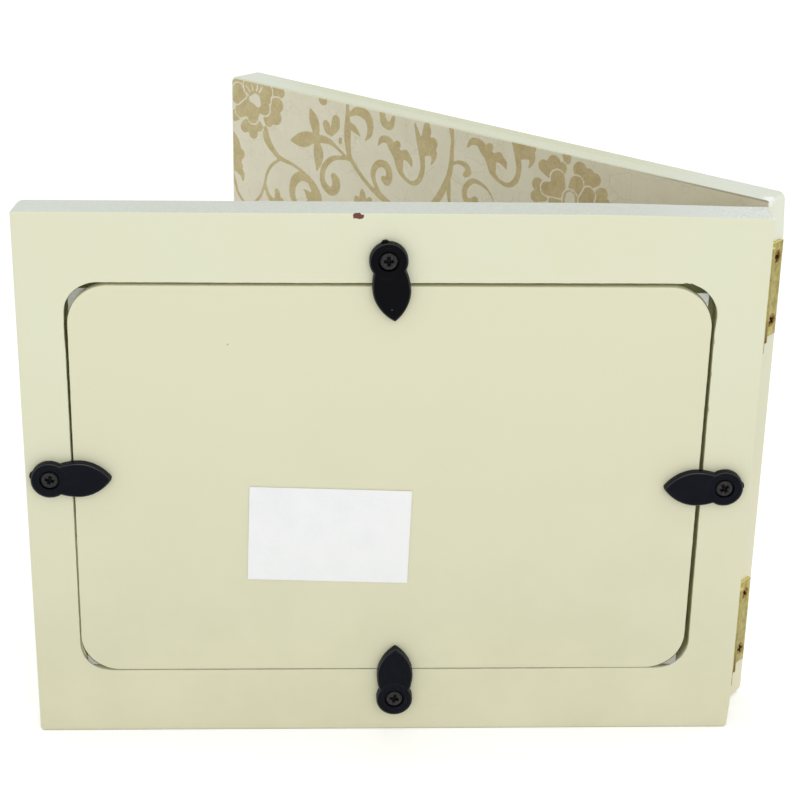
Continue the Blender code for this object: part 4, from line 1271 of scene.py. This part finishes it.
def mark_skin(mesh, recessed):
    """Stores where a board's skin faces up, for the overspray and painted sheen, and how much painted shade
    and missed spray the recess gets: more with its depth, less where its wall faces up, along the upper
    edge and down the side away from the hinges."""
    margin, sprayed = mm(0.6, 1.8)
    x, y, z = vectors(mesh.polygons, "center").T
    facing = vectors(mesh.polygons, "normal")[:, 2]
    inside_x = RECESS[0] / 2 + margin - np.abs(x - RECESS_MIDDLE[0])
    inside_z = RECESS[1] / 2 + margin - np.abs(z - RECESS_MIDDLE[1])
    inside = (np.minimum(inside_x, inside_z) > 0) & (y > BACK + 0.1 * MM) & (y < RECESS_FLOOR + 0.1 * MM)
    deep = np.clip((y - BACK) / sprayed, 0, 1)
    upper_edge = np.clip((z - RECESS_MIDDLE[1]) / MM - 48.0, 0, 1) * np.clip(inside_x / MM - 9.0, 0, 1)
    height = np.clip((z - 20 * MM) / (100 * MM), 0, 1)
    far_side = x < -70 * MM
    beside = np.where(far_side, 0.05 + 0.95 * height**2, 0.85)
    # less painted shade where the wall faces up into the light and along the upper edge
    lit_and_sprayed = (1 - 0.55 * np.clip(facing, 0, 1)) * (1 - 0.85 * upper_edge)
    missed_spray_and_shade = recessed * inside * deep * beside * lit_and_sprayed
    store(mesh, "edge", "FACE", np.clip((facing - 0.2) / 0.3, 0, 1) * (1 - recessed * inside))
    store(mesh, "missed_spray_and_shade", "FACE", missed_spray_and_shade)
    return mesh


def boards_and_sheets():
    """Both panels, and what lies in the frame and on the cover."""
    # the lighter upper and darker lower colours of the boards' painted shade
    upper, lower = colour(228, 230, 203), colour(217, 215, 183)
    # paler colours for faces that face up: overspray and painted sheen
    grey = colour(197, 203, 197)
    frame_spray_and_sheen = (grey, grey, colour(204, 211, 206))
    # corners with paint rubbed white and a painted highlight
    frame_rub_and_highlight = (Vector((91.5 * MM, BACK, 142.9 * MM)), 1.3 * MM)
    chip = Vector((-8.86 * MM, BACK, 142.72 * MM))
    frame_span = (0.0, 91.5 * MM)
    framed = board_paint("cream_paint_frame", upper, lower, frame_spray_and_sheen, frame_span, frame_rub_and_highlight, 0.6, chip)
    cover_spray_and_sheen = (colour(209, 213, 190), colour(204, 207, 174), colour(215, 221, 210))
    cover_rub_and_highlight = (OPENED @ Vector((-2.0 * MM, AXIS_AHEAD + 1.6 * MM, PANEL_HEIGHT)), 4.4 * MM)
    cream = board_paint("cream_paint_cover", upper, lower, cover_spray_and_sheen, (23.5 * MM, 68 * MM), cover_rub_and_highlight)
    # the back board's painted shade, lighter above
    board_upper, board_lower = colour(227, 226, 196), colour(217, 215, 184)
    board = board_paint("cream_paint_board", board_upper, board_lower, (upper,) * 3, (0.0, 80 * MM))
    add_piece("frame_board", mark_skin(frame_board(), True), framed, "frame", "cream_paint", "frame_panel")
    add_piece("cover_board", mark_skin(cover_board(), False), cream, "cover", "cream_paint", "cover_panel")
    add_piece("back_sheet", back_sheet(), board, "frame", "board_paint", "back_board")
    glass = clear_glass("picture_glass")
    add_piece("glass_sheet", glass_sheet(), glass, "frame", "clear_glass", "glass_pane")
    card = plain_paper("pale_card", colour(230, 232, 230), colour(218, 220, 217))
    add_piece("insert_card", insert_card(), card, "frame", "white_card", "photo_insert")
    white = plain_paper("label_paper", colour(247, 248, 248), colour(240, 242, 243))
    add_piece("label_sheet", label_sheet(), white, "frame", "label_paper", "blank_label")
    paper = printed_paper("lining_paper")
    add_piece("lining_sheet", lining_sheet(), paper, "cover", "printed_paper", "cover_paper")


def turn_buttons():
    """The four turn buttons and their screws, whose heads lie in the counterbores."""
    plastic = black_plastic("black_plastic")
    steel = black_steel("black_steel")
    counterbore_floor, rim = 0.9 * MM, BUTTON_SCREW[3]
    head_y = BACK - counterbore_floor - 2 * SEAT - rim
    for place, (x, z, tip, gate, cross) in BUTTONS.items():
        name = "button_" + place
        button = button_mesh(name, x, z, tip, gate)
        add_piece(name, button, plastic, name, "black_plastic", "turn_" + name)
        name = "button_screw_" + place
        screw = screw_mesh(name, BUTTON_SCREW, math.radians(-cross), standing(x, head_y, z, 0.0))
        add_piece(name, screw, steel, "frame", "black_steel", "turn_" + name)


def hinges():
    """Both hinges: a pin, a leaf on each body and two screws in each leaf, whose crosses stand at odd
    angles."""
    leaf_brass = brass("hinge_brass", colour(190, 176, 100), colour(134, 122, 64))
    screw_brass = brass("screw_brass", colour(160, 134, 68), colour(94, 68, 27))
    # a darker copy of the brass: painted shade on the pins between the panels
    shaded_pin_brass = brass("shaded_pin_brass", colour(124, 88, 34), colour(84, 56, 18))
    sideways = Matrix.Rotation(math.pi / 2, 4, "Y")
    for name, height in HINGES.items():
        pin = f"hinge_{name}_pin"
        add_piece(pin + "_rod", pin_mesh(pin, height), shaded_pin_brass, "frame", "brass", pin)
        for body, side, carrier in (("frame", -1, Matrix.Translation(AXIS)), ("cover", 1, OPENED)):
            leaf = f"hinge_{name}_{body}_leaf"
            add_piece(leaf + "_strip", leaf_mesh(leaf, height, body), leaf_brass, body, "brass", leaf)
            sink = leaf_sink(HINGE_SCREW_REACH) if body == "frame" else 0.0
            for end, offset in (("top", HINGE_SCREW_OFFSET), ("bottom", -HINGE_SCREW_OFFSET)):
                node = f"hinge_{name}_{body}_screw_{end}"
                spot = (LEAF_THICK - KNUCKLE_RADIUS - sink, side * HINGE_SCREW_REACH, height + offset)
                turn = 0.6 + 1.9 * offset / MM + 0.7 * side + height / MM
                screw = screw_mesh(node, HINGE_SCREW, turn, carrier @ Matrix.Translation(spot) @ sideways)
                add_piece(node + "_head", screw, screw_brass, body, "brass_screw", node)


# Stage

EYE_RAYS = ("Camera", "Glossy", "Transmission")  # from the camera, directly or by way of mirrors and glass


def add_floor():
    """A wide pale floor. The camera and mirror-like surfaces see it a little brighter, up to white, and it
    keeps the shadow."""
    reach, count = 4.0, 9
    spread = np.linspace(-reach, reach, count)
    points = joined(*np.meshgrid(spread, spread), 0.0).reshape(-1, 3)
    mesh = bpy.data.meshes.new("floor")
    mesh.from_pydata(points.tolist(), [], grid_quads(count, count, wrap_columns=False))
    material, shader, place = start_material("pale_floor")
    tone = place.noise(0.4).mix(colour(240, 240, 240), colour(243, 243, 243))
    glow = place.any_ray(*EYE_RAYS).mix((0.0, 0.0, 0.0, 1.0), (0.3, 0.3, 0.3, 1.0))
    set_shader(shader, Base_Color=tone, Roughness=0.9, Specular_IOR_Level=0.1, Emission_Color=glow,
               Emission_Strength=1.0)
    mesh.materials.append(material)
    add_object("floor", mesh)


def add_world(ambient):
    """Even white surroundings, dimmer as a light than they look."""
    world = bpy.data.worlds.new("studio")
    bpy.context.scene.world = world
    world.use_nodes = True
    tree = world.node_tree
    light = tree.nodes["Background"]
    connect(tree, light.inputs["Color"], (1.0, 1.0, 1.0, 1.0))
    connect(tree, light.inputs["Strength"], ambient + (1 - ambient) * Signal(tree).any_ray(*EYE_RAYS))


def add_softbox(name, place, target, size, power, tint):
    """A square area light aimed at a point."""
    light = bpy.data.lights.new(name, "AREA")
    light.size = size
    light.energy = power
    light.color = tint
    lamp = add_object(name, light)
    lamp.location = place
    lamp.rotation_euler = (Vector(target) - Vector(place)).to_track_quat("-Z", "Y").to_euler()


def add_camera():
    """The photograph's viewpoint: yaw and pitch aim it, and roll turns it about its own line of sight."""
    yaw, pitch, roll = 0.04542, 0.40209, -0.01927
    ahead = Vector((math.sin(yaw) * math.cos(pitch), math.cos(yaw) * math.cos(pitch), -math.sin(pitch)))
    right = Vector((math.cos(yaw), -math.sin(yaw), 0.0))
    down = ahead.cross(right)
    across = right * math.cos(roll) + down * math.sin(roll)
    upward = right * math.sin(roll) - down * math.cos(roll)
    data = bpy.data.cameras.new("camera")
    data.sensor_width = 36.0
    data.lens = 90.05
    data.clip_start = 0.01
    camera = add_object("camera", data)
    matrix = Matrix((across, upward, -ahead)).transposed().to_4x4()
    matrix.translation = Vector((-18.844, -460.493, 289.256)) * MM
    camera.matrix_world = matrix
    bpy.context.scene.camera = camera


boards_and_sheets()
turn_buttons()
hinges()
add_floor()
add_world(0.8)
MIDDLE = (0.0, 0.0, 0.07)
add_softbox("front_softbox", (0.1, -1.0, 0.75), MIDDLE, 0.8, 2.6, (1.0, 0.99, 0.96))
add_softbox("top_softbox", (0.1, 0.1, 1.3), MIDDLE, 0.8, 1.4, (0.92, 0.97, 1.0))
add_camera()

bpy.context.scene.view_settings.view_transform = "Standard"
